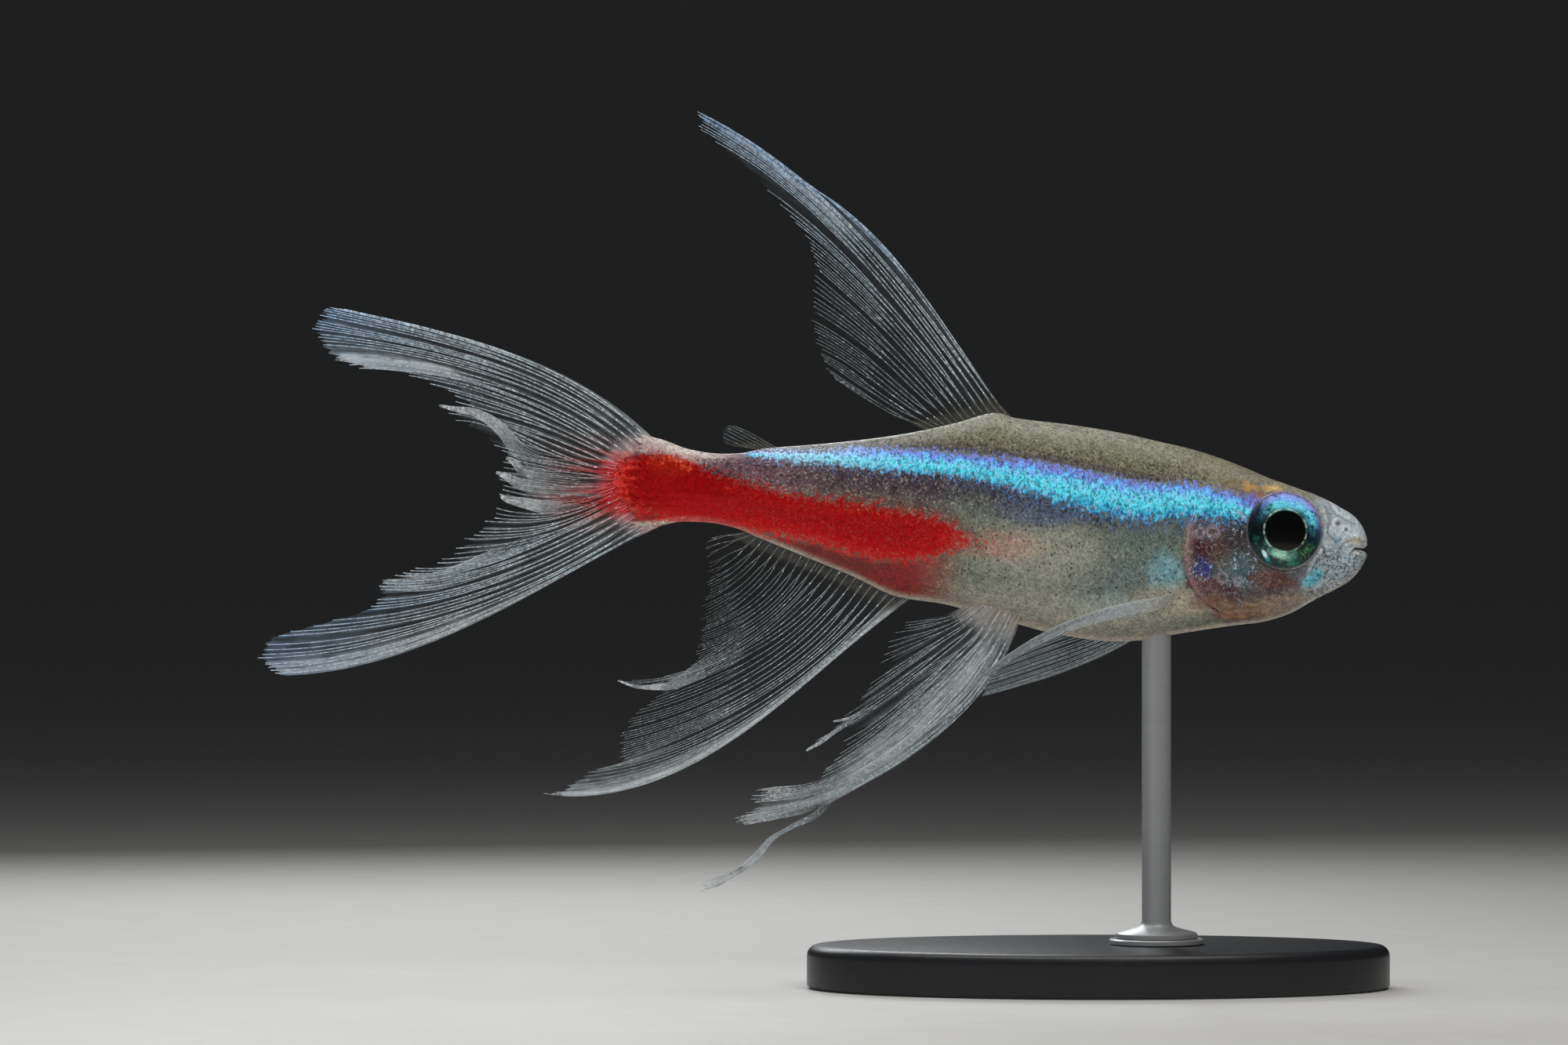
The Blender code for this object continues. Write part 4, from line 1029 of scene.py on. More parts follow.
def eye_tint(s, z):
    """The colours of the eye in the side view, with a painted glint on the iris and a painted highlight
    round its edge.
    """
    away_s, away_z = s - PUPIL[0], z - PUPIL[1]
    reach = np.hypot(away_s, away_z)
    angle = np.degrees(np.arctan2(away_z, -away_s))
    rim_reach = np.hypot(s - EYE_PLACE[0], z - EYE_PLACE[2])
    q = np.clip((reach - 0.92) / 0.62, 0.0, 1.0)
    grain = mottle(s * 5.0, z * 5.0, 1)
    fine = mottle(s * 13.0, z * 13.0, 2)
    marble = 0.6 * grain + 0.4 * fine

    def turned(middle, width):
        return hump((angle - middle + 180.0) % 360.0 - 180.0, 0.0, width)

    low = np.maximum(turned(-85, 48), turned(-130, 30)) * (1 - 0.6 * rise(0.75, 1.0, q))
    tint = painted(plain_tint(s, 6, 14, 18), (
        ((12, 70, 68), low * (0.25 + 0.75 * rise(0.35, 0.65, marble))),
        ((48, 140, 108), low * rise(0.52, 0.72, marble) * 0.7),
        ((20, 60, 104), turned(-5, 20) * rise(0.7, 1.0, q) * 0.4),
    ))
    places, levels = zip(*IRIS_BANDS)
    bands = srgb(*levels)
    neon = np.stack([np.interp(q + 0.16 * (grain - 0.5), places, bands[:, k]) for k in range(3)], -1)
    top = rise(0.0, 1.0, turned(76, 53) * 1.5)
    tint = lay(tint, neon, top * (0.25 + 0.75 * rise(0.20, 0.46, marble)))
    broken = 0.15 + 0.85 * rise(0.35, 0.6, mottle(angle * 0.13, 0 * angle, 3))
    return painted(tint, (
        ((110, 240, 255), turned(30, 20) * hump(q, 0.50, 0.22) * rise(0.30, 0.55, fine)),
        ((150, 236, 255), turned(70, 40) * hump(q, 0.42, 0.14) * rise(0.45, 0.65, fine)),
        ((96, 224, 214), turned(112, 26) * hump(q, 0.30, 0.16) * rise(0.35, 0.6, fine)),
        ((186, 250, 222), turned(-98, 22) * hump(q, 0.20, 0.24) * rise(0.25, 0.6, marble)),
        # Painted highlight: a pale blue-white glint low on the iris, to the rear of the pupil.
        ((206, 242, 250), patch(s - 0.5 * (z + 0.65), z, (4.22, -0.65), (0.09, 0.17), 0.3)),
        ((30, 170, 190), patch(s, z, (4.08, -0.84), (0.08, 0.10), 0.4) * 0.8),
        ((84, 160, 92), turned(-42, 14) * hump(q, 0.5, 0.25) * rise(0.4, 0.7, fine)),
        # Painted highlight: a grey ring round the eye's outer edge, for light on the cornea's edge.
        ((118, 122, 130), rise(EYE_RADIUS - 0.10, EYE_RADIUS - 0.03, rim_reach) * 0.6),
        ((1, 2, 3), fall(PUPIL_RADIUS - 0.02, PUPIL_RADIUS + 0.03, reach)),
        ((206, 222, 206), hump(reach, PUPIL_RADIUS + 0.055, 0.024) * broken),
    ))


def eye_finish():
    """A wet, dark eye with its iris in the vertex colours."""
    look = Shader("tetra_eye")
    fine = look.noise(look.place(), 16.0, 3.0, 0.4)
    colour = look.swung(look.attribute("tint", "Color"), fine, 0.32, 0.68, 0.65, 1.4)
    look.set(Base_Color=colour, Roughness=look.ramp(fine, 0.3, 0.7, 0.35, 0.5),
             Normal=look.bump(fine, 0.12, 0.00003))
    look.set(Metallic=0.1, Specular_IOR_Level=0.25, Coat_Weight=0.45, Coat_Roughness=0.03)
    return look.material


def ring_places(frame, angle, reach, height):
    """Points round an eye's middle, at a reach from it and a height over the plane of its rim."""
    middle, rearward, upward, outward = frame
    flat = np.cos(angle)[..., None] * rearward + np.sin(angle)[..., None] * upward
    return middle + reach[..., None] * flat + height[..., None] * outward


def make_eyes(finish):
    """Both eyes: a low dome before the rim and a deeper bowl behind it."""
    rings, bowl, spokes = 60, 13, 144
    front = EYE_RADIUS * np.sin(np.linspace(0, math.pi / 2, rings + 1))[1:]
    back = EYE_RADIUS * np.cos(np.linspace(0, math.pi / 2, bowl))[1:-1]
    reach = np.concatenate([front, back])[:, None]
    height = np.concatenate([EYE_DOME * (1 - (front / EYE_RADIUS) ** 2),
                             -EYE_DEPTH * np.sqrt(1 - (back / EYE_RADIUS) ** 2)])[:, None]
    angle = math.tau * np.arange(spokes)[None, :] / spokes
    for side, word in ((-1, "right"), (1, "left")):
        frame = eye_frame(side)
        middle, outward = frame[0], frame[3]
        grid = ring_places(frame, angle, reach, height)
        points = np.concatenate([grid.reshape(-1, 3), [middle + EYE_DOME * outward],
                                 [middle - EYE_DEPTH * outward]])
        thing = fish_object("eye_ball_" + word, points, capped_faces(len(reach), spokes), finish)
        give_colours(thing, "tint", eye_tint(points[:, 0], points[:, 2]))
        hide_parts("eye_" + word)


def make_eye_rims(finish):
    """A smooth ring of skin round each eye."""
    spokes, around = 160, 16
    angle = math.tau * np.arange(spokes)[:, None] / spokes
    turn = math.tau * np.arange(around)[None, :] / around
    wide = 0.034 + 0.008 * np.sin(angle) + 0.012 * (mottle(angle * 8, 0 * angle) - 0.5)
    reach = EYE_RADIUS + 0.015 + wide * np.cos(turn)
    height = 0.005 + 0.038 * np.sin(turn)
    grids = [ring_places(eye_frame(side), angle, reach, height) for side in (-1, 1)]
    points = np.concatenate(grids).reshape(-1, 3)
    faces = [quads_of(ring_numbers(spokes, around, k * spokes * around)) for k in range(len(grids))]
    thing = fish_object("eye_rims", points, np.concatenate(faces).tolist(), finish)
    s, z = points[:, 0], points[:, 2]
    give_colours(thing, "tint", painted(plain_tint(s, 128, 126, 126), (
        ((140, 136, 172), rise(0.9, 1.7, z)),
        ((84, 74, 72), rise(0.6, -0.6, z) * rise(2.6, 4.0, s) * 0.9),
    )))
    for name, values in (("bands", (0.0, -2.0, 0.0)), ("flecks", (0.2, 0.0, 0.3)),
                         ("nets", (-2.0, 0.0, 0.0))):
        give_vectors(thing, name, np.zeros((len(s), 3)) + values)


def surface_root(root, side):
    """Two functions of the share along a fin's root: where it stands clear, and in the flesh."""
    s_front, s_rear, turn_front, turn_rear = root

    def at(share, lift):
        s = s_front + (s_rear - s_front) * share
        turn = turn_front + (turn_rear - turn_front) * share
        point = body_points(s, turn)
        if side == 0:
            point[..., 2] += lift if turn_front > 0 else -lift
            return point
        point = point + body_normals(s, turn) * lift
        point[..., 1] *= -side
        return point

    if side == 0:
        return (lambda share: at(share, ROOT_LIFT)), None
    return (lambda share: at(share, SIDE_ROOT_LIFT)), (lambda share: at(share, -0.16))


def tail_fin_root(root):
    """The same for a half of the tail fin, between two heights."""
    def clear(share):
        z = root[0] + (root[1] - root[0]) * share
        return np.stack([tail_root(z) + ROOT_LIFT, 0 * z, z], -1)

    return clear, None


class FinSheet:
    """The middle surface of a fin, over the share along its root and the share along its rays."""

    START = -0.06
    COLUMNS, STEPS = 321, 107
    ragged = 0.3

    def __init__(self, rays, roots, side=0, splay=(0.0, 0.0), ripple=(0.0, 0.0, 0.0), flutter=0.10,
                 clumps=(0.0, 1.0)):
        self.clumps = clumps
        shares = np.linspace(0, 1, self.COLUMNS)
        places, *columns = zip(*rays)
        curves = [curve_through(places, column) for column in columns]
        angle, length, bend, curl = [curve(shares) for curve in curves]
        self.length_at = curves[1]
        depth, waves, phase = ripple
        clear = roots[0](shares)
        forward = 100
        t = (np.arange(forward) + 0.5) / forward
        heading = np.radians(angle[:, None] + bend[:, None] * t + curl[:, None] * t * t)
        step = length[:, None] / forward
        back = np.cumsum(np.cos(heading) * step, 1)
        up = np.cumsum(np.sin(heading) * step, 1)
        first = self.STEPS - forward - 1
        t = np.arange(1, forward + 1) / forward
        t = np.concatenate([np.linspace(self.START, 0, first + 1), t])
        into = np.radians(0.7 * angle + 0.3 * angle.mean())
        depth_in_flesh, side_depth = 0.65, 0.25
        reach = np.clip(depth_in_flesh / np.maximum(np.abs(np.sin(into)), 0.01), depth_in_flesh, 1.3)
        if roots[1]:
            reach = 0.0 * reach + side_depth
        lead = (t[:first + 1] / -self.START)[None, :] * reach[:, None]
        back = np.column_stack([lead * np.cos(into)[:, None], back])
        up = np.column_stack([lead * np.sin(into)[:, None], up])
        positive = np.maximum(t, 0.0)[None, :]
        out = (splay[0] + (splay[1] - splay[0]) * shares)[:, None]
        wave = depth * np.sin(np.radians(360.0 * waves * shares + phase))[:, None]
        y = side * out * positive * (2.0 - positive) + wave * positive ** 2
        grid_u, grid_t = np.meshgrid(shares, t, indexing="ij")
        flutter = flutter * (mottle(grid_u * 7.0, grid_t * 2.2, 5) - 0.5)
        y = y + flutter * rise(0.1, 0.8, grid_t)
        self.grid = clear[:, None, :] + np.stack([back, y, up], -1)
        if roots[1]:
            settle = fall(0.0, 1.0, (t[None, :] * length[:, None] + 0.3) / 1.6)
            self.grid += (roots[1](shares) - clear)[:, None, :] * settle[..., None]
        self.t = t

    def web_end(self, share, gap):
        """How far out the web reaches: it bridges no narrow peak, and stops short of the tips."""
        bridged = 0.035
        window = np.linspace(-bridged, bridged, 15)
        length = self.length_at(share)
        worn = self.length_at(np.clip(share[:, None] + window, 0, 1)).min(1)
        regrown = np.stack([np.interp(np.clip(share + w, 0, 1), share, worn) for w in window]).max(0)
        return np.clip((np.minimum(regrown, length) - gap) / length, 0.3, 1.0)

    def at(self, share, t):
        """Points of the sheet."""
        share, t = np.broadcast_arrays(np.clip(share, 0.0, 1.0), np.clip(t, self.START, 1.0))
        depth, count = self.clumps
        sway = depth * (mottle(share * count, t * 2.5, 13) - 0.5) * rise(0.2, 0.8, t)
        share = np.clip(share + sway * np.minimum(8 * share * (1 - share), 1.0), 0.0, 1.0)
        column = share * (self.COLUMNS - 1)
        row = np.interp(t, self.t, np.arange(self.STEPS))
        i = np.clip(column.astype(int), 0, self.COLUMNS - 2)
        j = np.clip(row.astype(int), 0, self.STEPS - 2)
        u, v = (column - i)[..., None], (row - j)[..., None]
        low = self.grid[i, j] * (1 - u) + self.grid[i + 1, j] * u
        high = self.grid[i, j + 1] * (1 - u) + self.grid[i + 1, j + 1] * u
        return low * (1 - v) + high * v


class Strand:
    """A narrow run of rays that leaves a fin's sheet along a path of (s, z) points."""

    def __init__(self, sheet, count, veil, widths, path):
        self.count, self.veil = count, veil
        self.ragged = 1.6 * widths[-1]
        place = np.array(path, float)
        away = np.hypot(sheet.grid[..., 0] - place[0, 0], sheet.grid[..., 2] - place[0, 1])
        nearest = np.unravel_index(np.argmin(away), away.shape)
        self.level = sheet.grid[nearest][1] - 0.05
        chord = np.concatenate([[0.0], np.cumsum(np.hypot(*np.diff(place, axis=0).T))])
        self.length = chord[-1]
        chord /= chord[-1]
        self.path = [curve_through(chord, place[:, column]) for column in (0, 1)]
        self.widths = widths

    def length_at(self, share):
        """The same length at every share."""
        return self.length + 0.0 * np.asarray(share, float)

    def web_end(self, share, gap):
        """How far out the web reaches."""
        return np.clip(1.0 - gap / self.length, 0.3, 1.0)

    def at(self, share, t):
        """Points of the strand."""
        share, t = np.broadcast_arrays(np.asarray(share, float), np.asarray(t, float))
        way = np.clip((t - FinSheet.START) / (1.0 - FinSheet.START), 0.0, 1.0)
        ahead, behind = np.minimum(way + 0.01, 1.0), np.maximum(way - 0.01, 0.0)
        ds, dz = [at(ahead) - at(behind) for at in self.path]
        size = np.maximum(np.hypot(ds, dz), 1e-9)
        out = (share - 0.5) * along_share(way, self.widths)
        s = self.path[0](way) - dz / size * out
        z = self.path[1](way) + ds / size * out
        return np.stack([s, self.level + 0.10 * (share - 0.5) * np.sin(math.pi * way), z], -1)


def along_share(share, values):
    """Values given at even steps from 0 to 1, read at a share."""
    return np.interp(share, np.linspace(0.0, 1.0, len(values)), values)


def fin_lines(sheet, count, forks, rng, cluster):
    """The rays of a fin as (shares, ts, first width, last width), each branch a line of its own."""
    lines = []
    steps_along, thinner, branch_width = 84, 0.82, 0.78

    def grow(share, start, level, width, gap):
        last = level >= len(forks)
        length = max(float(sheet.length_at(share[1])), 1.0)
        turn = max(0.16, 1.0 / length)
        if last:
            end = 1.0 - sheet.ragged * rng.random() / length
        else:
            end = forks[level] * (1.0 + 0.12 * (rng.random() - 0.5))
        steps = max(int((end - start) * steps_along), 6)
        ts = np.linspace(start, end, steps)
        path = share[0] + (share[1] - share[0]) * rise(0.0, turn, ts - start)
        lines.append((path, ts, width, width * thinner))
        if not last:
            for way in (-1, 1):
                aim = share[1] + way * gap * cluster / 4
                grow((path[-1], aim), end, level + 1, width * branch_width, gap / 2)

    for k in range(count):
        share = (k + 0.5 + 0.15 * (rng.random() - 0.5)) / count
        grow((share, share), FinSheet.START, 0, 1.0, 1.0 / count)
    return lines


def ray_tubes(sheet, lines, radius, tip_radius):
    """Points, faces, shares and ts of round tubes along the lines."""
    points, faces, shares, stations, total = [], [], [], [], 0
    sides = 6
    around = math.tau * np.arange(sides) / sides
    for share, t, first_width, last_width in lines:
        centre = sheet.at(share, t)
        along = np.gradient(centre, axis=0)
        along /= np.maximum(np.linalg.norm(along, axis=1, keepdims=True), 1e-9)
        across = np.cross(along, (0.0, 1.0, 0.0))
        across /= np.maximum(np.linalg.norm(across, axis=1, keepdims=True), 1e-9)
        over = np.cross(along, across)
        width = np.linspace(first_width, last_width, len(t))
        width = width * (radius + (tip_radius - radius) * rise(0.0, 1.0, t))
        width[-1] *= 0.5 if t[-1] > 0.999 else 1.0
        out = np.cos(around)[None, :, None] * across[:, None]
        out = out + 0.8 * np.sin(around)[None, :, None] * over[:, None]
        ring = centre[:, None] + width[:, None, None] * out
        points.append(np.concatenate([ring.reshape(-1, 3), centre[:1], centre[-1:]]))
        shares.append(np.concatenate([np.repeat(share, sides), share[:1], share[-1:]]))
        stations.append(np.concatenate([np.repeat(t, sides), t[:1], t[-1:]]))
        faces += [[total + corner for corner in face] for face in capped_faces(len(t), sides)]
        total += len(t) * sides + 2
    return np.concatenate(points), faces, np.concatenate(shares), np.concatenate(stations)


def web_mesh(sheet, teeth, gap):
    """Points, faces, shares and ts of the thin skin between the rays, with a ragged margin."""
    half_thickness, steps = 0.012, 58
    columns = teeth * 4 + 1
    shares = np.linspace(0, 1, columns)
    notch = 0.6 + 0.9 * mottle(shares * teeth * 0.5, 0 * shares, 4)
    notch = notch + 0.4 * np.cos(math.tau * shares * teeth)
    end = sheet.web_end(shares, along_share(shares, gap) * notch)
    t = FinSheet.START + (end[:, None] - FinSheet.START) * np.linspace(0, 1, steps)[None, :]
    share = np.broadcast_to(shares[:, None], t.shape)
    middle = sheet.at(share, t)
    normal = np.cross(np.gradient(middle, axis=0), np.gradient(middle, axis=1))
    normal /= np.maximum(np.linalg.norm(normal, axis=-1, keepdims=True), 1e-12)
    out = normal * (half_thickness * (1 - 0.5 * rise(0.2, 1.0, t)))[..., None]
    points = np.concatenate([(middle + out).reshape(-1, 3), (middle - out).reshape(-1, 3)])
    front = grid_faces(columns, steps)
    faces = [front, front[:, ::-1] + columns * steps, border_faces(columns, steps)]
    faces = np.concatenate(faces).tolist()
    return points, faces, np.tile(share.reshape(-1), 2), np.tile(t.reshape(-1), 2)


def web_finish():
    """The clear skin between the rays, milky where the veil is strong."""
    look = Shader("tetra_fin_web")
    u, t, veil = look.parts(look.attribute("veil"))
    streak = look.noise(look.node("CombineXYZ", {0: u, 1: t, 2: 0.0}), 1.0, 3.0, roughness=0.6)
    cloud = look.noise(look.place(), 2.2, 3.0)
    thick = look.times(look.ramp(streak, 0.32, 0.68, 0.35, 1.65, soft=False),
                       look.ramp(cloud, 0.3, 0.7, 0.7, 1.3, soft=False), veil)
    alpha = look.node("Math", {0: thick, 1: 0.0}, operation="ADD", use_clamp=True)
    milky = look.ramp(streak, 0.45, 0.75, 0.0, 0.6)
    look.set(Base_Color=look.mix(milky, look.attribute("tint", "Color"), srgb(214, 222, 228)),
             Alpha=alpha, Roughness=0.45)
    look.set(Specular_IOR_Level=0.3)
    return look.material


def ray_finish():
    """The pale, jointed rays of the fins."""
    look = Shader("tetra_fin_ray")
    where = look.place()
    beads = look.noise(where, 7.0, 2.0, roughness=0.6)
    colour = look.swung(look.attribute("tint", "Color"), beads, 0.36, 0.64, 0.35, 1.25)
    spark = look.ramp(look.noise(where, 5.6, 1.5), 0.60, 0.70, 0.0, 0.85)
    colour = look.mix(spark, colour, srgb(228, 236, 240))
    look.set(Base_Color=colour, Roughness=look.ramp(beads, 0.3, 0.7, 0.25, 0.5),
             Normal=look.bump(beads, 0.3, 0.00003))
    look.set(Coat_Weight=0.3, Coat_Roughness=0.15)
    return look.material


RAY_WHITE = srgb(172, 186, 192)
WEB_WHITE = srgb(150, 162, 166)
TIP_BLUE = srgb(158, 196, 236)
FOLD_WHITE = srgb(222, 226, 228)
TAIL_RED = srgb(204, 14, 12)
TAIL_PINK = srgb(208, 136, 132)
TAIL_FLESH = srgb(196, 176, 170)
PALE_FLESH = srgb(150, 142, 132)
DARK_FLESH = srgb(104, 102, 88)


def fin_tint(points, share, t, sheet, colour, tail=False, flesh=PALE_FLESH, reach=0.8, bluish=(),
             bands=(), shade=(1.0, 1.0)):
    """The colour along a fin: flesh at its root, red or pink at the tail's, bluish at some tips."""
    tint = np.ones((len(share), 3)) * colour * along_share(share, shade)[:, None]
    for middle, wide, start, end in bluish:
        tint = lay(tint, TIP_BLUE, hump(share, middle, wide) * rise(start, end, t) * 0.8)
    for middle, wide, start, end, value in bands:
        held = rise(start - 0.06, start + 0.02, t) * fall(end - 0.02, end + 0.06, t)
        tint = lay(tint, FOLD_WHITE, hump(share, middle, wide) * held * value * 0.8)
    tint = lay(tint, flesh, fall(0.1, reach, t * sheet.length_at(share)))
    if tail:
        z = points[:, 2]
        level = np.abs(z - 0.10) / 1.25
        away = points[:, 0] - TAIL_ROOT
        ragged = mottle(z * 7.0, 0 * z, 6)
        run = 1.4 + 3.4 * ragged - 1.2 * level ** 2
        tint = lay(tint, TAIL_PINK, fall(0.5, 5.0, away) * (0.30 + 0.60 * ragged) * fall(0.9, 2.0, level))
        tint = lay(tint, TAIL_RED, fall(run * 0.2, run, away) * fall(0.80, 1.25, level))
    return tint


def strand_parts(strand, tail, rng):
    """The rays and the web of a strand, as pieces for a fin's two meshes."""
    lines = [(share, t, 0.35 if t[0] < 0 else first, last)
             for share, t, first, last in fin_lines(strand, strand.count, (0.5,), rng, 0.9)]
    points, faces, share, t = ray_tubes(strand, lines, 0.020, 0.012)
    tint = fin_tint(points, share, t, strand, RAY_WHITE * 0.6, tail, RAY_WHITE * 0.6)
    rays = (points, faces, lay(tint, FOLD_WHITE, 0.75 * rise(0.15, 0.75, t)))
    points, faces, share, t = web_mesh(strand, strand.count * 2, (0.9, 0.9))
    tint = fin_tint(points, share, t, strand, WEB_WHITE, tail, WEB_WHITE)
    tint = lay(tint, FOLD_WHITE, 0.8 * rise(0.2, 0.8, t))
    strength = strand.veil * rise(0.15, 0.65, t)
    return rays, (points, faces, tint, np.stack([share * 9.0, t * strand.length * 0.6, strength], -1))


def make_fin(name, sheet, count, forks, looks, veil, milk, strands=(), *, radius, tip, gap, seed,
             cluster=0.75, lead=1.0, base=(0.12, 0.3), pairs=1, **tints):
    """The rays of a fin and the web between them.

    The veil is how milky the web is between the rays and milk how much milkier beside them, where
    pairs is the number of milky strips to a ray. Lead is how much stouter the first rays are than
    the last, and base the veil at the root and its reach. The gap is how far the web stops short
    of the tips, from the first ray to the last. Among the tints, shade says how bright the rays
    are, from the first to the last, and bands make the web milkier: share and its reach, first
    and last t, and strength."""
    web_look, ray_look = looks
    bands, shade = tints.get("bands", ()), tints.get("shade", (1.0, 1.0))
    rng = np.random.default_rng(seed)
    lines = []
    for share, t, first, last in fin_lines(sheet, count, forks, rng, cluster):
        stout = 1 + (lead - 1) * (1 - share[0]) ** 2
        lines.append((share, t, first * stout, last * stout))
    points, faces, share, t = ray_tubes(sheet, lines, radius, tip)
    rays = [(points, faces, fin_tint(points, share, t, sheet, RAY_WHITE, **tints))]
    points, faces, share, t = web_mesh(sheet, count * 2 ** len(forks), gap)
    tint = fin_tint(points, share, t, sheet, WEB_WHITE, **tints)
    beside = fall(0.14, 0.42, np.abs((share * count * pairs) % 1.0 - 0.5))
    strength = (veil + milk * beside) * along_share(share, shade)
    for middle, wide, start, end, value in bands:
        held = rise(start - 0.10, start + 0.05, t) * fall(end - 0.02, end + 0.06, t)
        strength = np.maximum(strength, value * hump(share, middle, wide) * held * (0.6 + 0.4 * beside))
    away = t * sheet.length_at(share)
    strength = np.maximum(strength, base[0] * fall(0.25 * base[1], base[1], away))
    webs = [(points, faces, tint, np.stack([share * count * 5.0, away * 0.6, strength], -1))]
    for strand in strands:
        ray_part, web_part = strand_parts(Strand(sheet, *strand), tints.get("tail", False), rng)
        rays.append(ray_part)
        webs.append(web_part)
    points, faces, tint = joined(rays)
    thing = fish_object(name + "_rays", points, faces, ray_look)
    give_colours(thing, "tint", tint)
    points, faces, tint, veils = joined(webs)
    web = fish_object(name + "_web", points, faces, web_look)
    give_colours(web, "tint", tint)
    give_vectors(web, "veil", veils)
    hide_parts(name)


def joined(parts):
    """Pieces of (points, faces, values...) as one."""
    faces, total = [], 0
    for part in parts:
        faces += [tuple(corner + total for corner in face) for face in part[1]]
        total += len(part[0])
    rest = [np.concatenate([part[k] for part in parts]) for k in range(2, len(parts[0]))]
    return (np.concatenate([part[0] for part in parts]), faces, *rest)


def make_fins():
    """Every fin with its own sheet, rays and web."""
    looks = (web_finish(), ray_finish())
    sheet = FinSheet(DORSAL_RAYS, surface_root(DORSAL_ROOT, 0), ripple=(0.45, 0.8, 20.0),
                     clumps=(0.012, 14))
    make_fin("dorsal_fin", sheet, 13, (0.05, 0.46), looks, 0.01, 0.03, radius=0.029, tip=0.023,
             gap=(0.4, 1.0, 0.9, 0.5, 0.4, 0.4), seed=2, cluster=0.85, lead=1.35, flesh=DARK_FLESH,
             bands=((0.0, 0.10, 0.15, 1.0, 0.12), (0.18, 0.08, 0.55, 0.92, 0.32)),
             bluish=((0.1, 0.2, 0.3, 0.9),), shade=(1.0, 1.0, 1.0, 0.62, 0.50, 0.45, 0.42))
    sheet = FinSheet(ADIPOSE_RAYS, surface_root(ADIPOSE_ROOT, 0), flutter=0.02)
    make_fin("adipose_fin", sheet, 7, (0.5,), looks, 0.04, 0.04, radius=0.012, tip=0.006,
             gap=(0.05, 0.05), seed=3, flesh=DARK_FLESH, shade=(0.6, 0.5))
    tail = {"radius": 0.040, "tip": 0.036, "cluster": 0.80, "base": (0.9, 1.2), "pairs": 2,
            "tail": True, "flesh": TAIL_FLESH}
    sheet = FinSheet(TAIL_UPPER_RAYS, tail_fin_root(TAIL_UPPER_ROOT), ripple=(0.55, 0.9, 200.0),
                     clumps=(0.03, 15))
    make_fin("caudal_fin_upper", sheet, 11, (0.08, 0.40), looks, 0.015, 0.09, TAIL_UPPER_STRANDS,
             gap=(0.28, 0.28, 0.5, 0.8, 1.0), seed=4, bluish=((0.15, 0.28, 0.6, 1.0),),
             bands=((0.02, 0.05, 0.0, 1.0, 0.30), (0.40, 0.035, 0.62, 1.0, 0.65),
                    (0.18, 0.25, 0.78, 1.0, 0.10)),
             shade=(1.0, 1.0, 1.0, 0.9, 0.8), **tail)
    sheet = FinSheet(TAIL_LOWER_RAYS, tail_fin_root(TAIL_LOWER_ROOT), ripple=(0.55, 0.9, 20.0),
                     clumps=(0.022, 15))
    make_fin("caudal_fin_lower", sheet, 11, (0.08, 0.40), looks, 0.015, 0.09, TAIL_LOWER_STRANDS,
             gap=(0.8, 0.8, 0.6, 0.28, 0.28), seed=5, bluish=((0.88, 0.25, 0.6, 1.0),),
             bands=((0.97, 0.06, 0.30, 1.0, 0.55), (0.05, 0.05, 0.1, 1.0, 0.35),
                    (0.85, 0.15, 0.75, 1.0, 0.10)),
             shade=(0.8, 0.85, 1.0, 1.0, 1.0), **tail)
    sheet = FinSheet(ANAL_RAYS, surface_root(ANAL_ROOT, 0), ripple=(0.5, 1.3, 60.0),
                     clumps=(0.008, 20))
    make_fin("anal_fin", sheet, 22, (0.04, 0.52), looks, 0.01, 0.02, ANAL_STRANDS, radius=0.020,
             tip=0.010, gap=(0.22, 0.6, 0.6, 0.6), seed=6, cluster=0.9, lead=1.8,
             flesh=srgb(112, 108, 100), shade=(1.0, 0.72, 0.58, 0.50, 0.42, 0.36, 0.32),
             bands=((0.02, 0.04, 0.0, 1.0, 0.75), (0.12, 0.03, 0.85, 1.0, 0.25),
                    (0.45, 0.022, 0.60, 0.95, 0.45)))
    for name, rays, root, side, splay, bands, seed, strands in (
            ("pelvic_fin_right", PELVIC_RIGHT_RAYS, PELVIC_RIGHT_ROOT, -1, (1.3, 0.9),
             ((0.24, 0.15, 0.12, 0.88, 0.50), (0.05, 0.08, 0.7, 1.0, 0.35)), 7, PELVIC_RIGHT_STRANDS),
            ("pelvic_fin_left", PELVIC_LEFT_RAYS, PELVIC_LEFT_ROOT, 1, (1.5, 0.9),
             ((0.03, 0.04, 0.55, 1.0, 0.6),), 8, PELVIC_LEFT_STRANDS)):
        sheet = FinSheet(rays, surface_root(root, side), side, splay, (0.35, 0.8, 30.0),
                         clumps=(0.02, 12))
        make_fin(name, sheet, 9, (0.06, 0.32), looks, 0.015, 0.08, strands, radius=0.031, tip=0.016,
                 gap=(0.4, 0.4, 0.7, 0.9, 0.9), seed=seed, lead=1.2, base=(0.8, 1.2), pairs=2,
                 reach=1.5, bands=bands, shade=(0.9, 1.0, 0.8, 0.65))
    for name, rays, root, side, splay, bands, seed, count, radius in (
            ("pectoral_fin_right", PECTORAL_RIGHT_RAYS, PECTORAL_RIGHT_ROOT, -1, (1.7, 1.2),
             ((0.04, 0.16, -0.2, 1.0, 0.90), (0.60, 0.45, -0.2, 0.95, 0.52)), 9, 6, 0.023),
            ("pectoral_fin_left", PECTORAL_LEFT_RAYS, PECTORAL_LEFT_ROOT, 1, (2.6, 1.8),
             ((0.04, 0.10, 0.2, 1.0, 0.45),), 10, 8, 0.026)):
        sheet = FinSheet(rays, surface_root(root, side), side, splay, (0.2, 0.5, 0.0), 0.05,
                         (0.02, 9))
        make_fin(name, sheet, count, (0.15, 0.50), looks, 0.03, 0.12, radius=radius, tip=0.015,
                 gap=(0.2, 0.2), seed=seed, base=(0.8, 1.4), pairs=2, reach=2.2, bands=bands,
                 flesh=srgb(200, 196, 186))


SCALE_LENGTH = 0.98
SCALE_STEP = 0.66
SCALE_ROWS = 15
SCALE_LIFT = 0.013
SCALE_SPREAD = 1.28


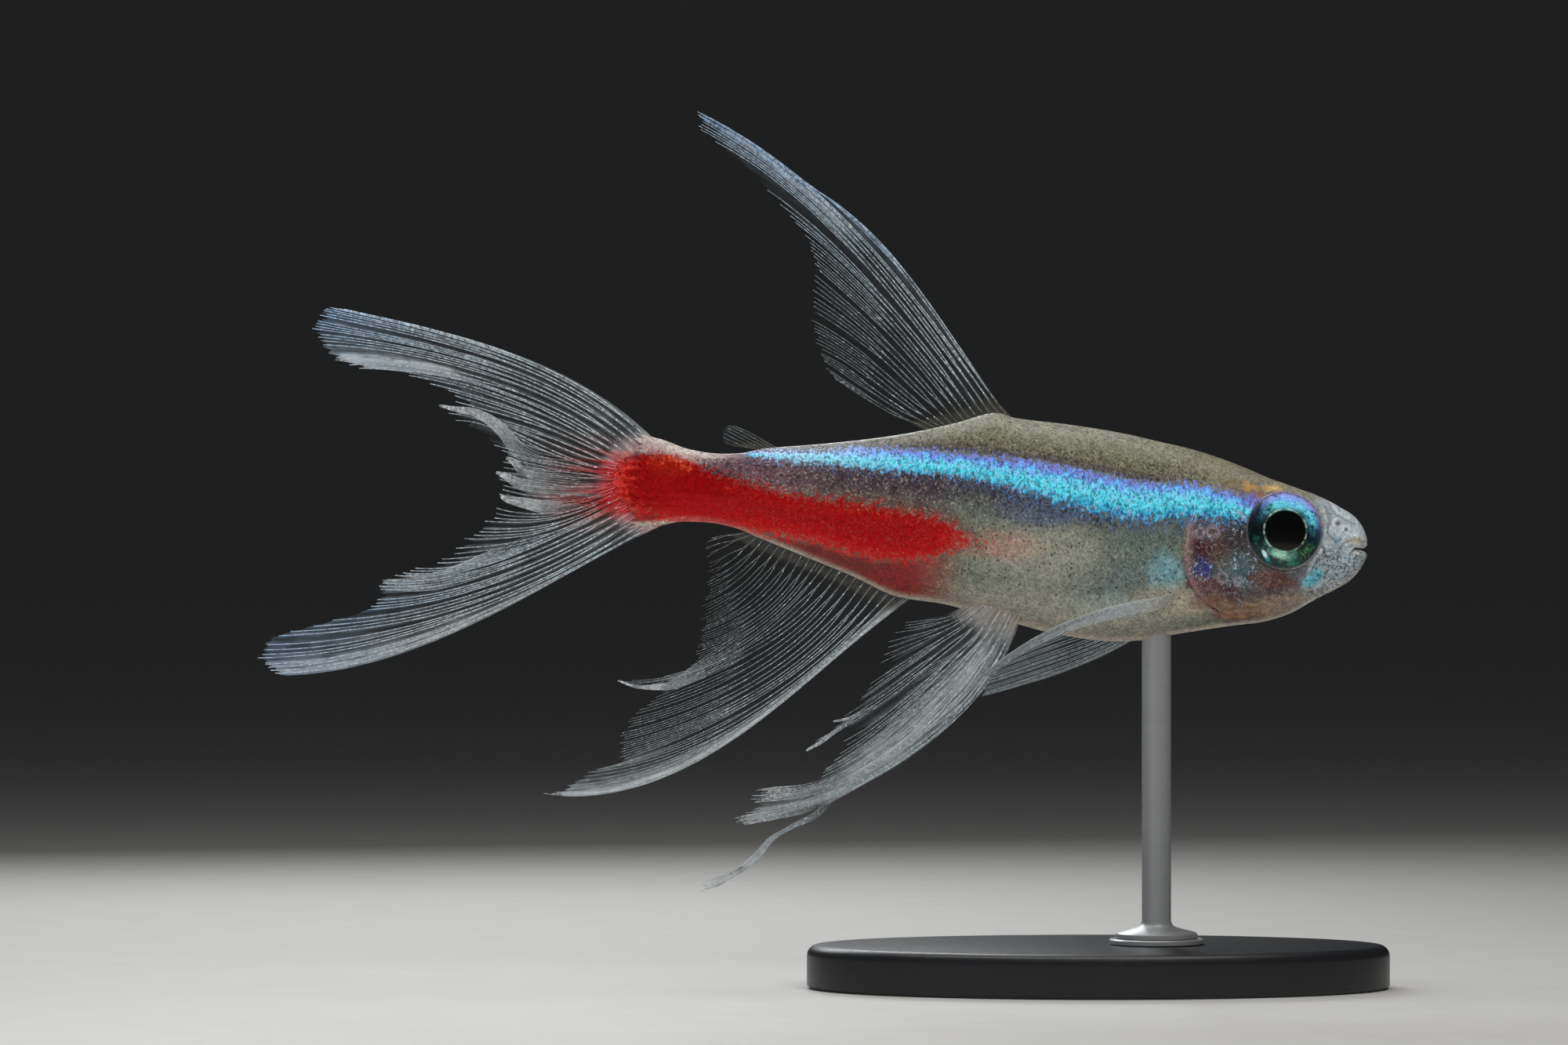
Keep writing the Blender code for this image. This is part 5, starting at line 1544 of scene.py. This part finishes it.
def scale_size(s):
    """How the scales shrink towards the tail."""
    return 1.0 - 0.25 * rise(20.0, 29.0, s)


def scale_places():
    """Where the scales of one side start, as (distance behind the snout, turn)."""
    places = []
    for row in range(SCALE_ROWS):
        turn = -90.0 + 180.0 * (row + 0.5) / SCALE_ROWS
        s = 5.4 + (SCALE_STEP / 2 if row % 2 else 0.0)
        while s < TAIL_ROOT - 0.9:
            z = body_points(np.array([s]), np.array([turn]))[0, 2]
            first = gill_edge(z) + 0.10
            if z > 1.7:
                first = 5.6 + 0.9 * (3.2 - min(z, 3.2))
            if s > first:
                places.append((s, turn))
            s += SCALE_STEP * scale_size(s)
    return np.array(places)


def make_scales(finish):
    """Thin round plates in staggered rows, each lifted a little at its rear edge."""
    steps, spans = 7, 7
    one = steps * spans
    a = np.linspace(0, 1, steps)[None, :, None]
    b = np.linspace(-1, 1, spans)[None, None, :]
    place = scale_places()
    count = len(place)
    base_s, base_turn = place[:, 0, None, None], place[:, 1, None, None]
    length = SCALE_LENGTH * scale_size(base_s)
    outline = np.sqrt(np.clip(1.0 - (np.maximum(a - 0.42, 0) / 0.60) ** 2, 0.02, 1.0))
    s = base_s + a * length - 0.12 * length * b * b
    turn = np.broadcast_to(base_turn + b * outline * (90.0 / SCALE_ROWS) * SCALE_SPREAD, s.shape)
    lift = -0.012 + a * (SCALE_LIFT + 0.012) - 0.010 * b * b
    plain = body_points(s, turn)
    normal = body_normals(s, turn)
    tops = plain + normal * (relief(s, plain[..., 2]) + lift)[..., None]
    thick = 0.012 * (0.25 + 0.75 * (1 - a)) + 0 * b
    under = tops - normal * np.broadcast_to(thick, s.shape)[..., None]
    right = np.concatenate([tops.reshape(count, one, 3), under.reshape(count, one, 3)], 1)
    right = right.reshape(-1, 3)
    front = grid_faces(steps, spans)
    border = border_faces(steps, spans)[:, (0, 3, 2, 1)]
    faces = np.concatenate([front[:, ::-1], front + one, border])
    faces = (faces[None] + 2 * one * np.arange(count)[:, None, None]).reshape(-1, 4).tolist()
    both_s, both_turn = [np.concatenate([value.reshape(count, one)] * 2, 1).reshape(-1)
                         for value in (s, turn)]
    for word, side, shown_turn in (("right", 1, both_turn), ("left", -1, 180.0 - both_turn)):
        thing = fish_object("scales_" + word, right * (1, side, 1), faces, finish, 40)
        paint_skin(thing, both_s, right[:, 2])
        give_map(thing, "OFBake", unwrapped(both_s, shown_turn))


def turned_piece(name, axes, steps, finish, middle=0.0):
    """A closed turned piece, round or oval, from steps of (inset, height) in millimetres."""
    spokes = 160
    angle = math.tau * np.arange(spokes) / spokes
    points = [np.stack([middle + (axes[0] - inset) * np.cos(angle), (axes[1] - inset) * np.sin(angle),
                        0 * angle + height], -1) for inset, height in steps]
    faces = grid_faces(len(steps), spokes, closed=True).tolist()
    last = (len(steps) - 1) * spokes
    faces += [tuple(range(spokes)), tuple(range(last, last + spokes))]
    return new_object(name, np.array(points).reshape(-1, 3) * MM, faces, finish, 35)


def make_stand():
    """A satin black foot and a brushed steel rod with a collar and a washer."""
    foot = Shader("stand_foot")
    where = foot.place()
    grain = foot.noise(where, 6.0, 4.0, roughness=0.7)
    cloud = foot.noise(where, 0.4, 2.0)
    foot.set(Base_Color=foot.mix(cloud, srgb(26, 27, 29), srgb(34, 35, 37)),
             Roughness=foot.ramp(grain, 0.3, 0.7, 0.34, 0.46),
             Normal=foot.bump(grain, 0.15, 0.00003))
    foot.set(Coat_Weight=0.15, Coat_Roughness=0.25)
    steel = Shader("stand_steel")
    brushed = steel.noise(steel.place((0.6, 0.6, 5.0)), 1.0, 2.0)
    steel.set(Base_Color=steel.mix(brushed, srgb(176, 178, 180), srgb(188, 189, 190)),
              Roughness=steel.ramp(brushed, 0.3, 0.7, 0.36, 0.42),
              Normal=steel.bump(brushed, 0.02, 0.00001))
    steel.set(Metallic=0.55)
    low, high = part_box("stand_base")
    half_x, half_y, top = high.x / MM, high.y / MM, high.z / MM
    bend = 0.45
    rounds = [(bend - bend * math.cos(math.radians(a)), top - bend + bend * math.sin(math.radians(a)))
              for a in range(0, 91, 15)]
    plate = turned_piece("stand_plate", (half_x, half_y), [(0.15, 0.0), (0.0, 0.15)] + rounds,
                         foot.material)
    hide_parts("stand_base")
    low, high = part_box("stand_rod")
    middle, tip = (low.x + high.x) / 2 / MM, high.z / MM
    collar = top + 0.25
    steps = [(0.0, low.z / MM), (0.0, collar), (-1.00, collar), (-1.08, collar + 0.03),
             (-1.10, collar + 0.10), (-1.08, collar + 0.20), (-1.00, collar + 0.26),
             (-0.22, collar + 0.46), (-0.08, collar + 0.54), (0.0, collar + 0.70), (0.0, tip)]
    rod = turned_piece("stand_post", (0.6, 0.6), steps, steel.material, middle)
    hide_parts("stand_rod")
    steps = [(0.06, top), (0.0, top + 0.05), (0.0, collar - 0.05), (0.06, collar)]
    turned_piece("stand_washer", (1.95, 1.95), steps, steel.material, middle)


def set_camera_and_stage():
    """The camera at the photograph's angle, a pale floor and soft studio light."""
    scene = bpy.context.scene
    lens = bpy.data.cameras.new("camera")
    lens.lens = 165.0
    lens.sensor_width = 36.0
    lens.clip_start = 0.005
    camera = bpy.data.objects.new("camera", lens)
    camera.location = (-0.01294, -0.296, 0.01918)
    camera.rotation_euler = (math.radians(90.0), 0.0, 0.0)
    scene.collection.objects.link(camera)
    scene.camera = camera
    scene.view_settings.view_transform = "Standard"

    world = bpy.data.worlds.new("studio")
    world.use_nodes = True
    world.node_tree.nodes["Background"].inputs["Color"].default_value = (0.022, 0.023, 0.025, 1.0)
    scene.world = world

    floor_look = Shader("floor")
    grain = floor_look.noise(floor_look.place(), 0.35, 4.0)
    floor_look.set(Base_Color=floor_look.mix(grain, srgb(204, 202, 198), srgb(214, 213, 210)),
                   Roughness=0.6)
    half, bend, steps = 2.5, 1.2, 24
    profile = [(-4 * half, 0.0), (0.0, 0.0)]
    for k in range(steps + 1):
        angle = math.pi / 2 * k / steps
        profile.append((half + bend * math.sin(angle), bend - bend * math.cos(angle)))
    profile.append((half + bend, half))
    mesh = bpy.data.meshes.new("floor")
    mesh.from_pydata([(side, y, z) for y, z in profile for side in (-2 * half, 2 * half)], [],
                     [(2 * k, 2 * k + 1, 2 * k + 3, 2 * k + 2) for k in range(len(profile) - 1)])
    mesh.materials.append(floor_look.material)
    mesh.shade_smooth()
    floor = bpy.data.objects.new("floor", mesh)
    scene.collection.objects.link(floor)

    for name, place, aim, size, power, colour, shiny in (
            ("key", (20, -90, 85), (-8, 0, 18), (90, 60), 0.063, (1.0, 0.98, 0.95), False),
            ("fill", (-70, -90, 40), (-14, 0, 18), (60, 50), 0.029, (0.92, 0.96, 1.0), False),
            ("top", (-10, 5, 110), (-12, 0, 18), (110, 60), 0.056, (1.0, 1.0, 1.0), True),
            ("back", (-40, 90, 70), (-14, 0, 20), (80, 40), 0.056, (0.95, 0.98, 1.0), True)):
        data = bpy.data.lights.new(name, "AREA")
        data.shape = "RECTANGLE"
        data.size, data.size_y = size[0] * MM, size[1] * MM
        data.energy = power
        data.color = colour
        light = bpy.data.objects.new(name, data)
        light.location = Vector(place) * MM
        light.rotation_euler = (Vector(aim) - Vector(place)).to_track_quat("-Z", "Y").to_euler()
        light.visible_camera = False
        light.visible_glossy = shiny
        scene.collection.objects.link(light)


set_camera_and_stage()
skin_look = skin_finish()
make_skin(skin_look)
make_scales(skin_look)
make_eye_rims(skin_look)
make_eyes(eye_finish())
make_fins()
make_stand()
